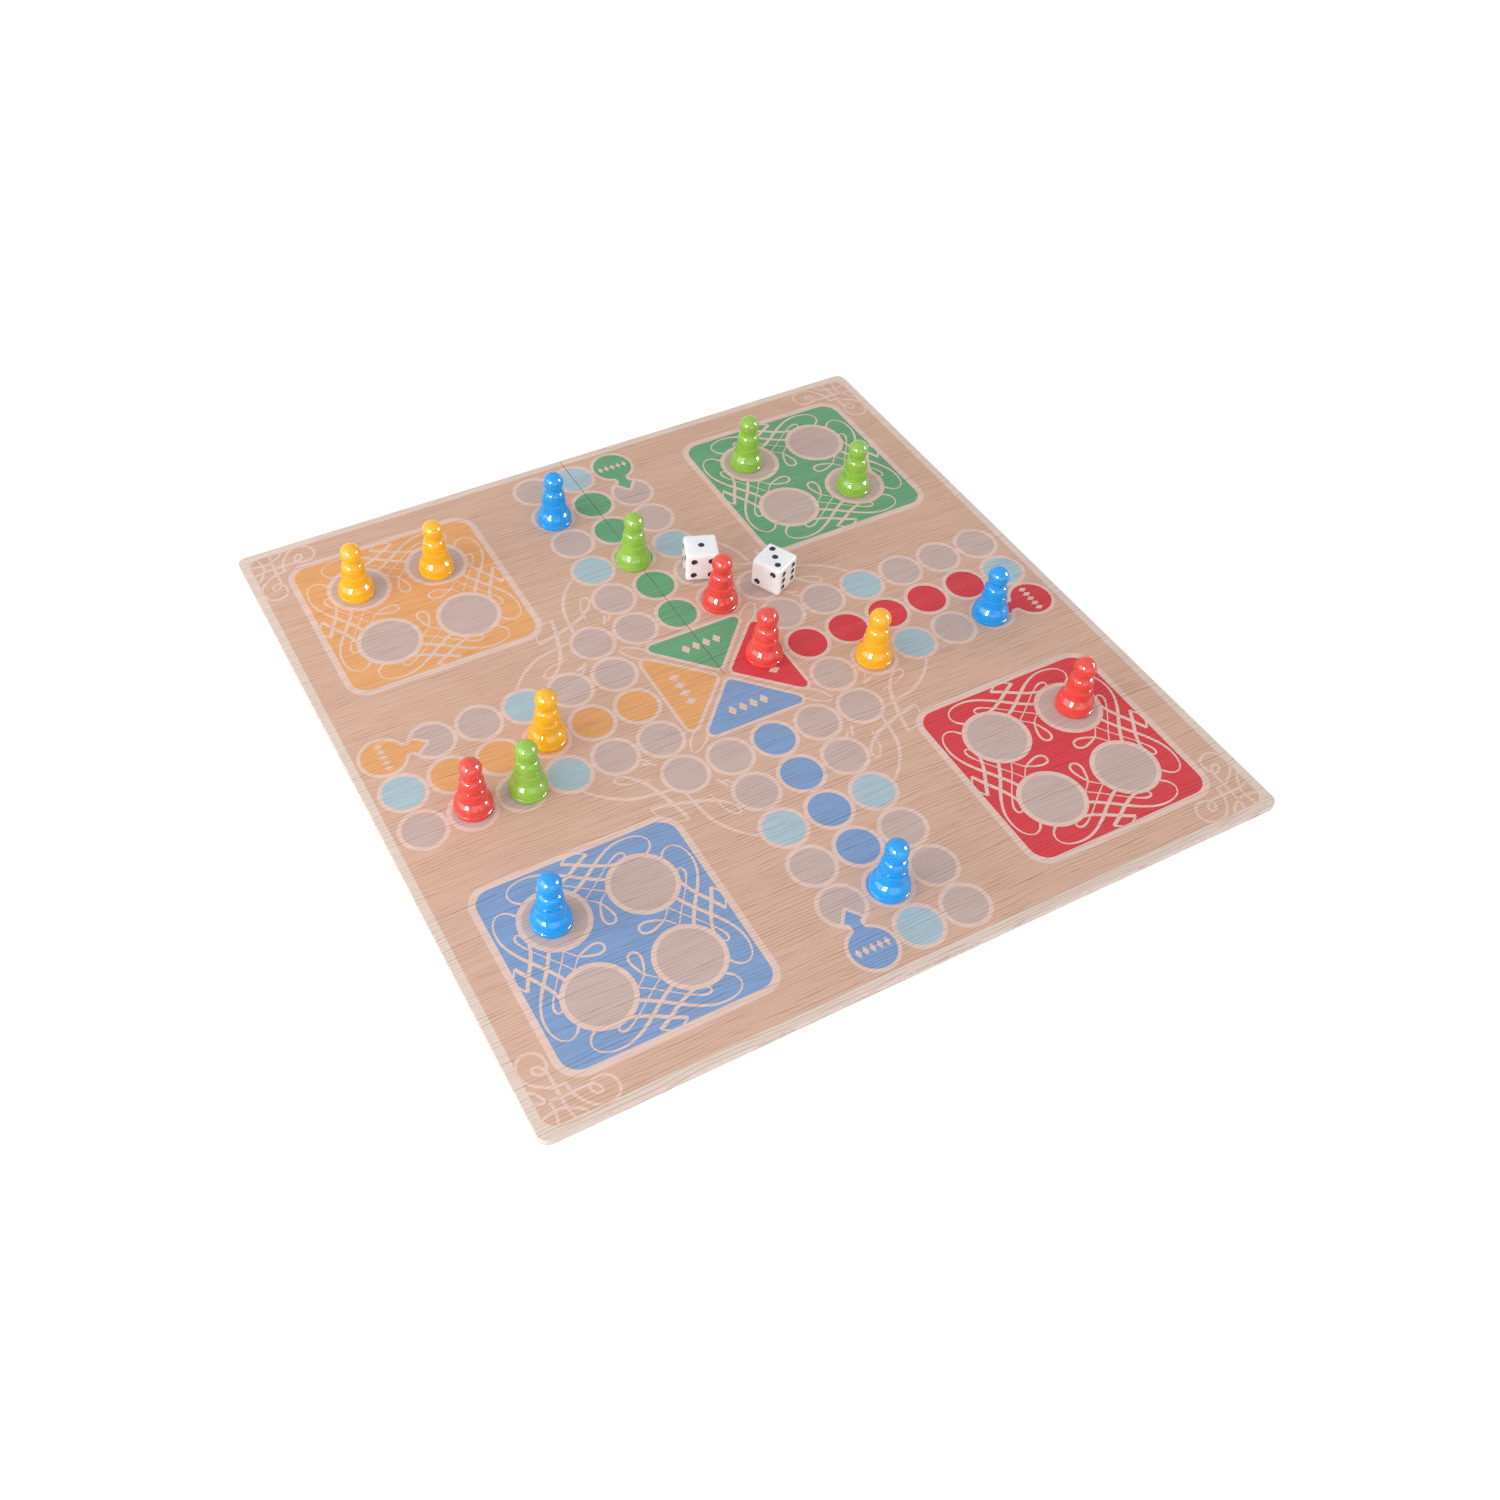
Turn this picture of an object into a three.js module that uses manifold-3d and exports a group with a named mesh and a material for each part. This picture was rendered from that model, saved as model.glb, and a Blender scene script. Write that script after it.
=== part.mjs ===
// A folding ludo board with its sixteen pawns and two dice, laid out in the middle of a game.
// Millimetres, +Z up. The origin is the middle of the board's underside, +X runs towards the
// red side and +Y towards the green side.
import * as THREE from 'three';
import { RoundedBoxGeometry } from 'three/addons/geometries/RoundedBoxGeometry.js';
import { mergeVertices } from 'three/addons/utils/BufferGeometryUtils.js';
import Module from 'manifold-3d';

// Board: four panels of greyboard, each wrapped in a printed sheet and lined on the back.
const CELL_PITCH = 20.6;
const CELLS_ACROSS = 15;
const BORDER_WIDTH = 5.5;
const CORE_THICKNESS = 2.4;
const SHEET_THICKNESS = 0.3;
const LINER_THICKNESS = 0.3;
const CORNER_RADIUS = 4;
const TURN_IN = 10;
const CREASE_GAP = 0.5;
const SEAM_GAP = 0.3;
const TAPE_WIDTH = 18;
const CORNER_STEPS = 6;

// Pawn: a hollow moulding of three tiers, open underneath. The lowest tier is a dome that runs up
// into a flared skirt, the middle one a collar and the highest a round head.
const FOOT_RADIUS = 7.95;
const FOOT_CHAMFER = 0.5;
const FOOT_HEIGHT = 1.7;
const FOOT_GROOVE = 0.25;
const DOME_HEIGHT = 5.1;
const SKIRT_RADIUS = 5.85;
const SKIRT_HEIGHT = 4;
const SKIRT_TUCK = 0.35;
const SHOULDER_RADIUS = 5.6;
const WAIST_RADIUS = 4.85;
const WAIST_HEIGHT = 1.35;
const COLLAR_RADIUS = 4.9;
const COLLAR_HEIGHT = 7.1;
const NECK_RADIUS = 3.6;
const HEAD_RADIUS = 4.6;
const PAWN_WALL = 1.3;
const PAWN_FACETS = 14;
const DOME_STEPS = 4;
const SKIRT_STEPS = 2;
const TUCK_STEPS = 1;
const COLLAR_STEPS = 3;
const HEAD_STEPS = 5;

// How the pawn's curves swell between their ends, as shares of the tier's own height or width.
const DOME_UPRIGHT_SHARE = 0.6;
const DOME_ROUND_SHARE = 0.45;
const DOME_SLOPE_SHARE = 0.76;
const SKIRT_SHARE = 0.3;
const TUCK_SHARE = 0.5;
const COLLAR_SWELL_SHARE = 1.1;
const COLLAR_LOW_SHARE = 0.25;
const COLLAR_HIGH_SHARE = 0.65;
const HOLLOW_FOOT_SHARE = 0.2;

// Die: a cube with rounded edges and dished pips.
const DIE_EDGE = 14.7;
const DIE_ROUND = 1.5;
const DIE_ROUND_STEPS = 2;
const PIP_RADIUS = 1.45;
const PIP_DEPTH = 0.6;
const PIP_SPACING = 3.8;
const PIP_FACETS = 8;
const OPPOSITE_PIP_COUNT = 7;

// Where the pieces stand, counted in cells from the middle of the board.
const PAWN_CELLS = {
  yellow: [[-5.8, 5.64], [-4.0, 5.56], [-3.97, 0.03], [2.99, -0.98]],
  green: [[3.86, 5.73], [5.61, 3.86], [-0.07, 3.89], [-4.85, -0.99]],
  red: [[0.96, 1.88], [0.98, 0.07], [5.84, -3.95], [-5.95, -0.92]],
  blue: [[-1.02, 5.89], [5.91, -1.02], [-0.02, -6.05], [-5.78, -3.94]],
};
const DICE = {
  die_left: { cell: [1.09, 2.985], turn: -21.4, topPipCount: 1, frontPipCount: 4 },
  die_right: { cell: [2.31, 1.945], turn: 26.8, topPipCount: 3, frontPipCount: 6 },
};

const boardHalf = (CELL_PITCH * CELLS_ACROSS) / 2 + BORDER_WIDTH;
const boardThickness = LINER_THICKNESS + CORE_THICKNESS + SHEET_THICKNESS;
const creaseEdge = CREASE_GAP / 2;
const coreFar = boardHalf - SHEET_THICKNESS;
const linerSpaceFar = boardHalf - TURN_IN;
const linerFar = linerSpaceFar - SEAM_GAP;
const tapeEdge = TAPE_WIDTH / 2;

const PAPER = { roughness: 0.6, metalness: 0 };
const printFinish = new THREE.MeshStandardMaterial({ color: 0xc9a58e, ...PAPER });
const coreFinish = new THREE.MeshStandardMaterial({ color: 0x9c958a, roughness: 0.9, metalness: 0 });
const linerFinish = new THREE.MeshStandardMaterial({ color: 0xd8d2c8, ...PAPER });
const tapeFinish = new THREE.MeshStandardMaterial({ color: 0xcbc3b8, roughness: 0.8, metalness: 0 });
const dieFinish = new THREE.MeshStandardMaterial({ color: 0xf4f4f4, roughness: 0.3, metalness: 0 });
const GLOSSY = { roughness: 0.15, metalness: 0 };
const PAWN_COLOURS = { yellow: 0xffb52e, green: 0x86bf32, red: 0xf04a48, blue: 0x0f8ff0 };

const wasm = await Module();
wasm.setup();

// A closed geometry as a solid that can be cut.
function toSolid(geometry) {
  const bare = geometry.clone();
  bare.deleteAttribute('normal');
  bare.deleteAttribute('uv');
  const merged = mergeVertices(bare);
  const vertProperties = new Float32Array(merged.attributes.position.array);
  const triVerts = new Uint32Array(merged.index.array);
  return new wasm.Manifold(new wasm.Mesh({ numProp: 3, vertProperties, triVerts }));
}

function toGeometry(solid) {
  const { vertProperties, triVerts } = solid.getMesh();
  const geometry = new THREE.BufferGeometry();
  geometry.setAttribute('position', new THREE.BufferAttribute(vertProperties, 3));
  geometry.setIndex(new THREE.BufferAttribute(triVerts, 1));
  geometry.computeVertexNormals();
  return geometry;
}

function named(name, geometry, material) {
  const mesh = new THREE.Mesh(geometry, material);
  mesh.name = name;
  return mesh;
}

// Board panels. Each is drawn in the +X +Y quarter and turned into its place.

function slab(outline, bottom, top) {
  const shape = { depth: top - bottom, bevelEnabled: false, curveSegments: CORNER_STEPS };
  return new THREE.ExtrudeGeometry(outline, shape).translate(0, 0, bottom);
}

// A panel's outline: square at the two creases, with its outer corner rounded.
function panelOutline(near, far, radius) {
  const outline = new THREE.Shape();
  outline.moveTo(near, near);
  outline.lineTo(far, near);
  outline.lineTo(far, far - radius);
  outline.absarc(far - radius, far - radius, radius, 0, Math.PI / 2);
  outline.lineTo(near, far);
  return outline.closePath();
}

function rectangle(left, front, right, back) {
  const outline = new THREE.Shape();
  outline.moveTo(left, front);
  outline.lineTo(right, front);
  outline.lineTo(right, back);
  outline.lineTo(left, back);
  return outline.closePath();
}

// The printed sheet covers the top, turns down over the two outer edges and in under the back.
// The core and the liner lie in the space that it leaves.
function faceSheet() {
  const pastCrease = -CREASE_GAP;
  const coreTop = LINER_THICKNESS + CORE_THICKNESS;
  const belowBack = -LINER_THICKNESS;
  const insideCore = LINER_THICKNESS + CORE_THICKNESS / 2;
  const block = slab(panelOutline(creaseEdge, boardHalf, CORNER_RADIUS), 0, boardThickness);
  const coreOutline = panelOutline(pastCrease, coreFar, CORNER_RADIUS - SHEET_THICKNESS);
  const linerOutline = rectangle(pastCrease, pastCrease, linerSpaceFar, linerSpaceFar);
  const coreSpace = slab(coreOutline, LINER_THICKNESS, coreTop);
  const linerSpace = slab(linerOutline, belowBack, insideCore);
  return toGeometry(toSolid(block).subtract(toSolid(coreSpace)).subtract(toSolid(linerSpace)));
}

function panelCore() {
  const outline = panelOutline(creaseEdge, coreFar, CORNER_RADIUS - SHEET_THICKNESS);
  return slab(outline, LINER_THICKNESS, LINER_THICKNESS + CORE_THICKNESS);
}

// The liner stops short of the tape at a hinged crease and runs up to the edge at the slit.
function backLiner(tapeAlongX, tapeAlongY) {
  const besideTape = tapeEdge + SEAM_GAP;
  const left = tapeAlongY ? besideTape : creaseEdge;
  const front = tapeAlongX ? besideTape : creaseEdge;
  return slab(rectangle(left, front, linerFar, linerFar), 0, LINER_THICKNESS);
}

// The quarters in order round the board, and which of each one's two creases are hinged. The
// crease between green and yellow is a slit, so that the board can fold in four.
const QUARTERS = [
  { side: 'green', tapeAlongX: true, tapeAlongY: false },
  { side: 'yellow', tapeAlongX: false, tapeAlongY: true },
  { side: 'blue', tapeAlongX: true, tapeAlongY: true },
  { side: 'red', tapeAlongX: true, tapeAlongY: true },
];

function boardPanels() {
  const panels = new THREE.Group();
  QUARTERS.forEach(({ side, tapeAlongX, tapeAlongY }, index) => {
    const quarter = new THREE.Group();
    quarter.rotation.z = (index * Math.PI) / 2;
    quarter.add(named(`face_sheet_${side}`, faceSheet(), printFinish));
    quarter.add(named(`panel_core_${side}`, panelCore(), coreFinish));
    quarter.add(named(`back_liner_${side}`, backLiner(tapeAlongX, tapeAlongY), linerFinish));
    panels.add(quarter);
  });
  return panels;
}

// Cloth tapes let into the back. The two cross tapes meet at the slit, and the centre tape butts
// against both of them.
function hingeTapes() {
  const tapes = new THREE.Group();
  const crossStart = SEAM_GAP / 2;
  const right = rectangle(crossStart, -tapeEdge, linerFar, tapeEdge);
  const left = rectangle(-linerFar, -tapeEdge, -crossStart, tapeEdge);
  const centre = rectangle(-tapeEdge, -linerFar, tapeEdge, -tapeEdge - SEAM_GAP);
  tapes.add(named('hinge_tape_red', slab(right, 0, LINER_THICKNESS), tapeFinish));
  tapes.add(named('hinge_tape_yellow', slab(left, 0, LINER_THICKNESS), tapeFinish));
  tapes.add(named('hinge_tape_blue', slab(centre, 0, LINER_THICKNESS), tapeFinish));
  return tapes;
}

// Pawns

// Points along a curve, without its first one, so that stretches join end to end.
function along(curve, steps) {
  return curve.getPoints(steps).slice(1);
}

function pawnProfile() {
  const at = (radius, height) => new THREE.Vector2(radius, height);
  const domeFoot = FOOT_HEIGHT + 2 * FOOT_GROOVE;
  const domeTop = domeFoot + DOME_HEIGHT;
  const shoulder = domeTop + SKIRT_HEIGHT;
  const waist = shoulder + WAIST_HEIGHT;
  const neck = waist + COLLAR_HEIGHT;
  const headBase = Math.sqrt(HEAD_RADIUS ** 2 - NECK_RADIUS ** 2);
  const headCentre = neck + headBase;
  const headStart = Math.asin(-headBase / HEAD_RADIUS);
  const domeRadius = FOOT_RADIUS - FOOT_GROOVE / 2;
  const domeRound = SKIRT_RADIUS + (domeRadius - SKIRT_RADIUS) * DOME_ROUND_SHARE;

  const foot = [
    at(FOOT_RADIUS - FOOT_CHAMFER, 0),
    at(FOOT_RADIUS, FOOT_CHAMFER),
    at(FOOT_RADIUS, FOOT_HEIGHT),
    at(FOOT_RADIUS - FOOT_GROOVE, FOOT_HEIGHT + FOOT_GROOVE),
    at(domeRadius, domeFoot),
  ];
  const dome = new THREE.CubicBezierCurve(
    at(domeRadius, domeFoot),
    at(domeRadius, domeFoot + DOME_HEIGHT * DOME_UPRIGHT_SHARE),
    at(domeRound, domeFoot + DOME_HEIGHT * DOME_SLOPE_SHARE),
    at(SKIRT_RADIUS, domeTop),
  );
  const skirt = new THREE.QuadraticBezierCurve(
    at(SKIRT_RADIUS, domeTop),
    at(SHOULDER_RADIUS - SKIRT_TUCK, domeTop + SKIRT_HEIGHT * SKIRT_SHARE),
    at(SHOULDER_RADIUS, shoulder),
  );
  const waistTuck = new THREE.QuadraticBezierCurve(
    at(SHOULDER_RADIUS, shoulder),
    at(WAIST_RADIUS, shoulder + WAIST_HEIGHT * TUCK_SHARE),
    at(WAIST_RADIUS, waist),
  );
  const collar = new THREE.CubicBezierCurve(
    at(WAIST_RADIUS, waist),
    at(COLLAR_RADIUS * COLLAR_SWELL_SHARE, waist + COLLAR_HEIGHT * COLLAR_LOW_SHARE),
    at(COLLAR_RADIUS * COLLAR_SWELL_SHARE, waist + COLLAR_HEIGHT * COLLAR_HIGH_SHARE),
    at(NECK_RADIUS, neck),
  );
  const head = new THREE.EllipseCurve(0, headCentre, HEAD_RADIUS, HEAD_RADIUS, headStart, Math.PI / 2);
  const hollow = [
    at(0, neck - PAWN_WALL),
    at(NECK_RADIUS - PAWN_WALL, neck - PAWN_WALL),
    at(WAIST_RADIUS - PAWN_WALL, waist),
    at(SHOULDER_RADIUS - SKIRT_TUCK - PAWN_WALL, shoulder - PAWN_WALL),
    at(SKIRT_RADIUS - PAWN_WALL, domeTop - PAWN_WALL),
    at(domeRadius - PAWN_WALL, domeFoot + DOME_HEIGHT * HOLLOW_FOOT_SHARE),
    at(FOOT_RADIUS - FOOT_CHAMFER - PAWN_WALL, 0),
  ];
  const outside = [
    ...foot,
    ...along(dome, DOME_STEPS),
    ...along(skirt, SKIRT_STEPS),
    ...along(waistTuck, TUCK_STEPS),
    ...along(collar, COLLAR_STEPS),
    ...along(head, HEAD_STEPS),
  ];
  outside.at(-1).x = 0;
  return [...hollow, ...outside];
}

function pawnGeometry() {
  return new THREE.LatheGeometry(pawnProfile(), PAWN_FACETS).rotateX(Math.PI / 2);
}

function pawns() {
  const set = new THREE.Group();
  for (const [side, cells] of Object.entries(PAWN_CELLS)) {
    const finish = new THREE.MeshStandardMaterial({ color: PAWN_COLOURS[side], ...GLOSSY });
    cells.forEach(([across, up], index) => {
      const pawn = named(`pawn_${side}_${index + 1}`, pawnGeometry(), finish);
      pawn.position.set(across * CELL_PITCH, up * CELL_PITCH, boardThickness);
      set.add(pawn);
    });
  }
  return set;
}

// Dice

// Pip places on a face in steps of the pip spacing, for one to six pips.
const PIP_PLACES = [
  [[0, 0]],
  [[-1, -1], [1, 1]],
  [[-1, -1], [0, 0], [1, 1]],
  [[-1, -1], [-1, 1], [1, -1], [1, 1]],
  [[-1, -1], [-1, 1], [0, 0], [1, -1], [1, 1]],
  [[-1, -1], [-1, 0], [-1, 1], [1, -1], [1, 0], [1, 1]],
];

// The number on each face. Opposite faces add up to seven, and one, two and three run
// anticlockwise round their shared corner.
function faceNumbers(top, front) {
  const opposite = (number) => OPPOSITE_PIP_COUNT - number;
  const lower = (number) => Math.min(number, opposite(number));
  const sign = (number) => (number === lower(number) ? 1 : -1);
  const side = [1, 2, 3].find((number) => number !== lower(top) && number !== lower(front));
  const inOrder = [[1, 2], [2, 3], [3, 1]].some(([a, b]) => a === lower(top) && b === lower(front));
  const turn = sign(top) * sign(front) * (inOrder ? 1 : -1);
  const right = turn > 0 ? side : opposite(side);
  return { top, bottom: opposite(top), front, back: opposite(front), right, left: opposite(right) };
}

// A ball that dishes one pip: it cuts PIP_DEPTH deep and PIP_RADIUS wide.
function pipCutter() {
  const radius = (PIP_RADIUS ** 2 + PIP_DEPTH ** 2) / (2 * PIP_DEPTH);
  const ball = new THREE.SphereGeometry(radius, PIP_FACETS, PIP_FACETS).rotateX(Math.PI / 2);
  return ball.translate(0, 0, DIE_EDGE / 2 - PIP_DEPTH + radius);
}

function dieGeometry(top, front) {
  const half = Math.PI / 2;
  const numbers = faceNumbers(top, front);
  const faces = [
    [numbers.top, new THREE.Euler(0, 0, 0)],
    [numbers.bottom, new THREE.Euler(2 * half, 0, 0)],
    [numbers.front, new THREE.Euler(half, 0, 0)],
    [numbers.back, new THREE.Euler(-half, 0, 0)],
    [numbers.right, new THREE.Euler(half, half, 0)],
    [numbers.left, new THREE.Euler(half, -half, 0)],
  ];
  const cube = new RoundedBoxGeometry(DIE_EDGE, DIE_EDGE, DIE_EDGE, DIE_ROUND_STEPS, DIE_ROUND);
  let solid = toSolid(cube);
  for (const [number, facing] of faces) {
    const turned = new THREE.Matrix4().makeRotationFromEuler(facing);
    for (const [across, up] of PIP_PLACES[number - 1]) {
      const cutter = pipCutter().translate(across * PIP_SPACING, up * PIP_SPACING, 0);
      solid = solid.subtract(toSolid(cutter.applyMatrix4(turned)));
    }
  }
  return toGeometry(solid);
}

function dice() {
  const pair = new THREE.Group();
  for (const [name, { cell, turn, topPipCount, frontPipCount }] of Object.entries(DICE)) {
    const die = named(name, dieGeometry(topPipCount, frontPipCount), dieFinish);
    const [across, up] = cell;
    die.position.set(across * CELL_PITCH, up * CELL_PITCH, boardThickness + DIE_EDGE / 2);
    die.rotation.z = THREE.MathUtils.degToRad(turn);
    pair.add(die);
  }
  return pair;
}

const ludoSet = new THREE.Group();
ludoSet.add(boardPanels(), hingeTapes(), pawns(), dice());

export default ludoSet;
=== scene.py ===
# %% [markdown]
# # A ludo board in the middle of a game
# The real set is a square of thick grey board in four wrapped and printed panels, hinged with
# cloth on the back, with sixteen moulded pawns and two dice standing on it. The solids come from
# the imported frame. This lesson dresses them: the print, the plastic, the cloth and the light.
# Everything is in metres and in the frame's own axes, so a piece goes where its solid is.

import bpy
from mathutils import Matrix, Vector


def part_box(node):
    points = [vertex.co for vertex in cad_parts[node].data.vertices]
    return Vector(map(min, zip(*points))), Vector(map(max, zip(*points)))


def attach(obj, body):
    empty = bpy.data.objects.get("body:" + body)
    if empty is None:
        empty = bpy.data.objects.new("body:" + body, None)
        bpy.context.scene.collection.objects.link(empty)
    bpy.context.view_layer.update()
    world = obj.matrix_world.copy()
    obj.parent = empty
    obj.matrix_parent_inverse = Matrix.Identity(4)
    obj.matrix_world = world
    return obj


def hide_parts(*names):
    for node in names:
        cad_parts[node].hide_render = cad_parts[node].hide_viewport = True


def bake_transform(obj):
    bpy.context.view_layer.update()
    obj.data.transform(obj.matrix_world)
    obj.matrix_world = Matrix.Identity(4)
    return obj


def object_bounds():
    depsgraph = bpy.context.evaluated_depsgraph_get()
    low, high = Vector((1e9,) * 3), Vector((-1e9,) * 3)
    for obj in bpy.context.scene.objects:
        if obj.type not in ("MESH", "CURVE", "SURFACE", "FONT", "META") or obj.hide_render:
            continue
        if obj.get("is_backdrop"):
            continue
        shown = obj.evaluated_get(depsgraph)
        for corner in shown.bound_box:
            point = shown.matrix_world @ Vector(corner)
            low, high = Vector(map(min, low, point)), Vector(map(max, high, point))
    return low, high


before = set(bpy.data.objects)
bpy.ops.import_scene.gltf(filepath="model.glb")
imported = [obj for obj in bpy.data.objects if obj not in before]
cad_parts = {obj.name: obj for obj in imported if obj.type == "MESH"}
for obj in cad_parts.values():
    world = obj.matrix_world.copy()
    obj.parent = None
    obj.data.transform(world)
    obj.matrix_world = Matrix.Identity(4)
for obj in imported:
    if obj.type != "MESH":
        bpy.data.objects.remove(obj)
cad_low, cad_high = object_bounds()
print("solids' box in mm:", [round(1000 * v, 1) for v in (*cad_low, *cad_high)])

# %% [markdown]
# ## Sizes that everything shares
# A ludo board is drawn on a grid of fifteen cells a side, so lengths in the print are easiest to
# say in cells. The board's half width and the height of its top are read from the frame, so they
# can't drift away from the solids. The four quarters are the same drawing, each turned by one
# right angle more than the one before it. A quarter's own colour fills its yard and the arm on its
# left, and the colour before it fills the arm on its right.

# %% The grid and the four quarters
import math

import bmesh
import bpy
from mathutils import Matrix, Vector
from mathutils.geometry import interpolate_bezier

MM = 0.001
CELL = 20.6 * MM
BOARD_HALF = cad_high.x
BOARD_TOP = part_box("face_sheet_green")[1].z
RIGHT_ANGLE = math.pi / 2
QUARTERS = ("green", "yellow", "blue", "red")


def neighbour(side):
    """The colour on a quarter's right."""
    return QUARTERS[QUARTERS.index(side) - 1]


print("board half width", round(BOARD_HALF / MM, 2), "mm, top at", round(BOARD_TOP / MM, 2), "mm")

# %% [markdown]
# ## The camera
# The picture's own grid of cells fixes where the camera stood: the place, the aim and the focal
# length below are the ones at which the cells fall on the picture's. The picture is cropped from
# a larger one, so the lens looked at a point that isn't in its middle, and the camera is shifted
# by as much. Its right and up directions are both given, and the third follows.

# %% Place the camera
PICTURE_SIDE = 1500
FOCAL_PIXELS = 1569.2
OPTICAL_CENTRE_PIXELS = Vector((647.6, 720.9))
SENSOR_WIDTH = 36
CAMERA_CELLS = Vector((-12.211, -18.856, 22.871))
CAMERA_RIGHT = Vector((0.88417, -0.46679, 0.01879)).normalized()
CAMERA_UP = Vector((0.33239, 0.65683, 0.67682)).normalized()
NEAREST_SEEN = 0.01


def new_object(name, data):
    """A new object in the scene."""
    made = bpy.data.objects.new(name, data)
    bpy.context.scene.collection.objects.link(made)
    return made


camera = new_object("camera", bpy.data.cameras.new("camera"))
bpy.context.scene.camera = camera
camera.data.sensor_width = SENSOR_WIDTH
camera.data.lens = SENSOR_WIDTH * FOCAL_PIXELS / PICTURE_SIDE
camera.data.shift_x = 0.5 - OPTICAL_CENTRE_PIXELS.x / PICTURE_SIDE
camera.data.shift_y = OPTICAL_CENTRE_PIXELS.y / PICTURE_SIDE - 0.5
camera.data.clip_start = NEAREST_SEEN
camera_axes = Matrix((CAMERA_RIGHT, CAMERA_UP, CAMERA_RIGHT.cross(CAMERA_UP))).transposed()
camera_place = CAMERA_CELLS * CELL + Vector((0, 0, BOARD_TOP))
camera.matrix_world = Matrix.Translation(camera_place) @ camera_axes.to_4x4()
print("lens", round(camera.data.lens, 2), "mm at", [round(v, 3) for v in camera_place])

# %% [markdown]
# ## Building node trees from code
# Shader trees and geometry trees are made the same way: add a node, set its options, then fill
# its inputs with values or with wires from other nodes. One helper does all three, and a few more
# make the sums and the colour mixes that come up again and again.

# %% Helpers for node trees
def fill(tree, node, inputs):
    """Sets or wires a node's inputs, by name or by number."""
    for key, value in inputs.items():
        if isinstance(value, bpy.types.NodeSocket):
            tree.links.new(value, node.inputs[key])
        else:
            node.inputs[key].default_value = value


def add(tree, kind, inputs=None, **options):
    """A new node, with its options set and its inputs filled or wired."""
    made = tree.nodes.new(kind)
    for name, value in options.items():
        setattr(made, name, value)
    fill(tree, made, inputs or {})
    return made


def maths(tree, operation, *values, clamp=False):
    """The output of a sum on single numbers."""
    inputs = dict(enumerate(values))
    return add(tree, "ShaderNodeMath", inputs, operation=operation, use_clamp=clamp).outputs[0]


def vectors(tree, operation, *values):
    """The output of a sum on vectors."""
    return add(tree, "ShaderNodeVectorMath", dict(enumerate(values)), operation=operation).outputs[0]


def remap(tree, value, low, high, to_low=0.0, to_high=1.0):
    """The value, stretched smoothly from one range to another and held at its ends."""
    inputs = {"Value": value, 1: low, 2: high, 3: to_low, 4: to_high}
    return add(tree, "ShaderNodeMapRange", inputs, interpolation_type="SMOOTHSTEP").outputs[0]


def blended(tree, factor, first, second, way="MIX"):
    """A mix of two colours."""
    inputs = {0: factor, 6: first, 7: second}
    return add(tree, "ShaderNodeMix", inputs, data_type="RGBA", blend_type=way).outputs[2]


def colour(code):
    """A colour written as on a web page, as the linear light values that shaders take."""
    parts = [int(code[i:i + 2], 16) / 255 for i in (1, 3, 5)]
    linear = [v / 12.92 if v <= 0.04045 else ((v + 0.055) / 1.055) ** 2.4 for v in parts]
    return (*linear, 1.0)


# %% [markdown]
# ## Light
# The picture is lit by an almost even white room that is a little brighter on the left, and two
# bright windows low on either side show as small white glints on each tier of every pawn. So the
# world gives most of the light, a broad pale wall on the left adds the slope, and two faint walls,
# in front and on the right, lift the sides that face them. The windows are lamps of the windows'
# size and direction, seen only in gloss. A lamp's size is given as an angle, as it is seen from
# the board, and a wall's light as what it adds to a level white surface, so that either can move
# nearer or further without changing the rest.

# %% The white room
FILL_STRENGTH = 0.72
WHITE = (1, 1, 1, 1)


def plainly_seen(tree):
    """One for rays from the camera, from gloss and through glass, and nought for other light."""
    rays = add(tree, "ShaderNodeLightPath").outputs
    seen = maths(tree, "ADD", rays["Is Camera Ray"], rays["Is Glossy Ray"])
    return maths(tree, "ADD", seen, rays["Is Transmission Ray"], clamp=True)


world = bpy.data.worlds.new("white_room")
bpy.context.scene.world = world
world.use_nodes = True
room = world.node_tree
room.nodes.clear()
strength = maths(room, "MULTIPLY_ADD", plainly_seen(room), 1.0 - FILL_STRENGTH, FILL_STRENGTH)
sky = add(room, "ShaderNodeBackground", {"Color": WHITE, "Strength": strength})
add(room, "ShaderNodeOutputWorld", {"Surface": sky.outputs[0]})
bpy.context.scene.view_settings.view_transform = "Standard"
print("the room gives", FILL_STRENGTH, "of a full white light")

# %% The walls and the windows
WALL_ANGLES = (1.0, 0.6)
WALLS = {
    "left_wall": {"towards": (-0.95, -0.02, 0.36), "distance": 0.85, "light": 0.225},
    "right_wall": {"towards": (0.92, -0.36, 0.17), "distance": 2.0, "light": 0.012},
    "front_wall": {"towards": (-0.12, -0.97, 0.16), "distance": 2.5, "light": 0.038},
}
WINDOWS = {"left_window": (-0.82, -0.46, 0.35), "right_window": (0.82, -0.43, 0.35)}
WINDOW_DISTANCE = 3.0
WINDOW_BRIGHTNESS = 30.0
PANE_ANGLES = (0.15, 0.42)
PANE_GAP = 0.035


def hang_lamp(name, towards, distance, angles, power, aside=0.0):
    """A flat lamp that faces the board from that direction and is seen from it at those angles."""
    facing = towards.to_track_quat("Z", "Y").to_matrix()
    lamp = bpy.data.lights.new(name, "AREA")
    lamp.shape = "RECTANGLE"
    lamp.size, lamp.size_y = (angle * distance for angle in angles)
    lamp.energy = power
    holder = new_object(name, lamp)
    place = distance * (towards + facing @ Vector((aside, 0, 0)))
    holder.matrix_world = Matrix.Translation(place) @ facing.to_4x4()
    print(name, round(power, 2), "W")
    return holder


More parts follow.
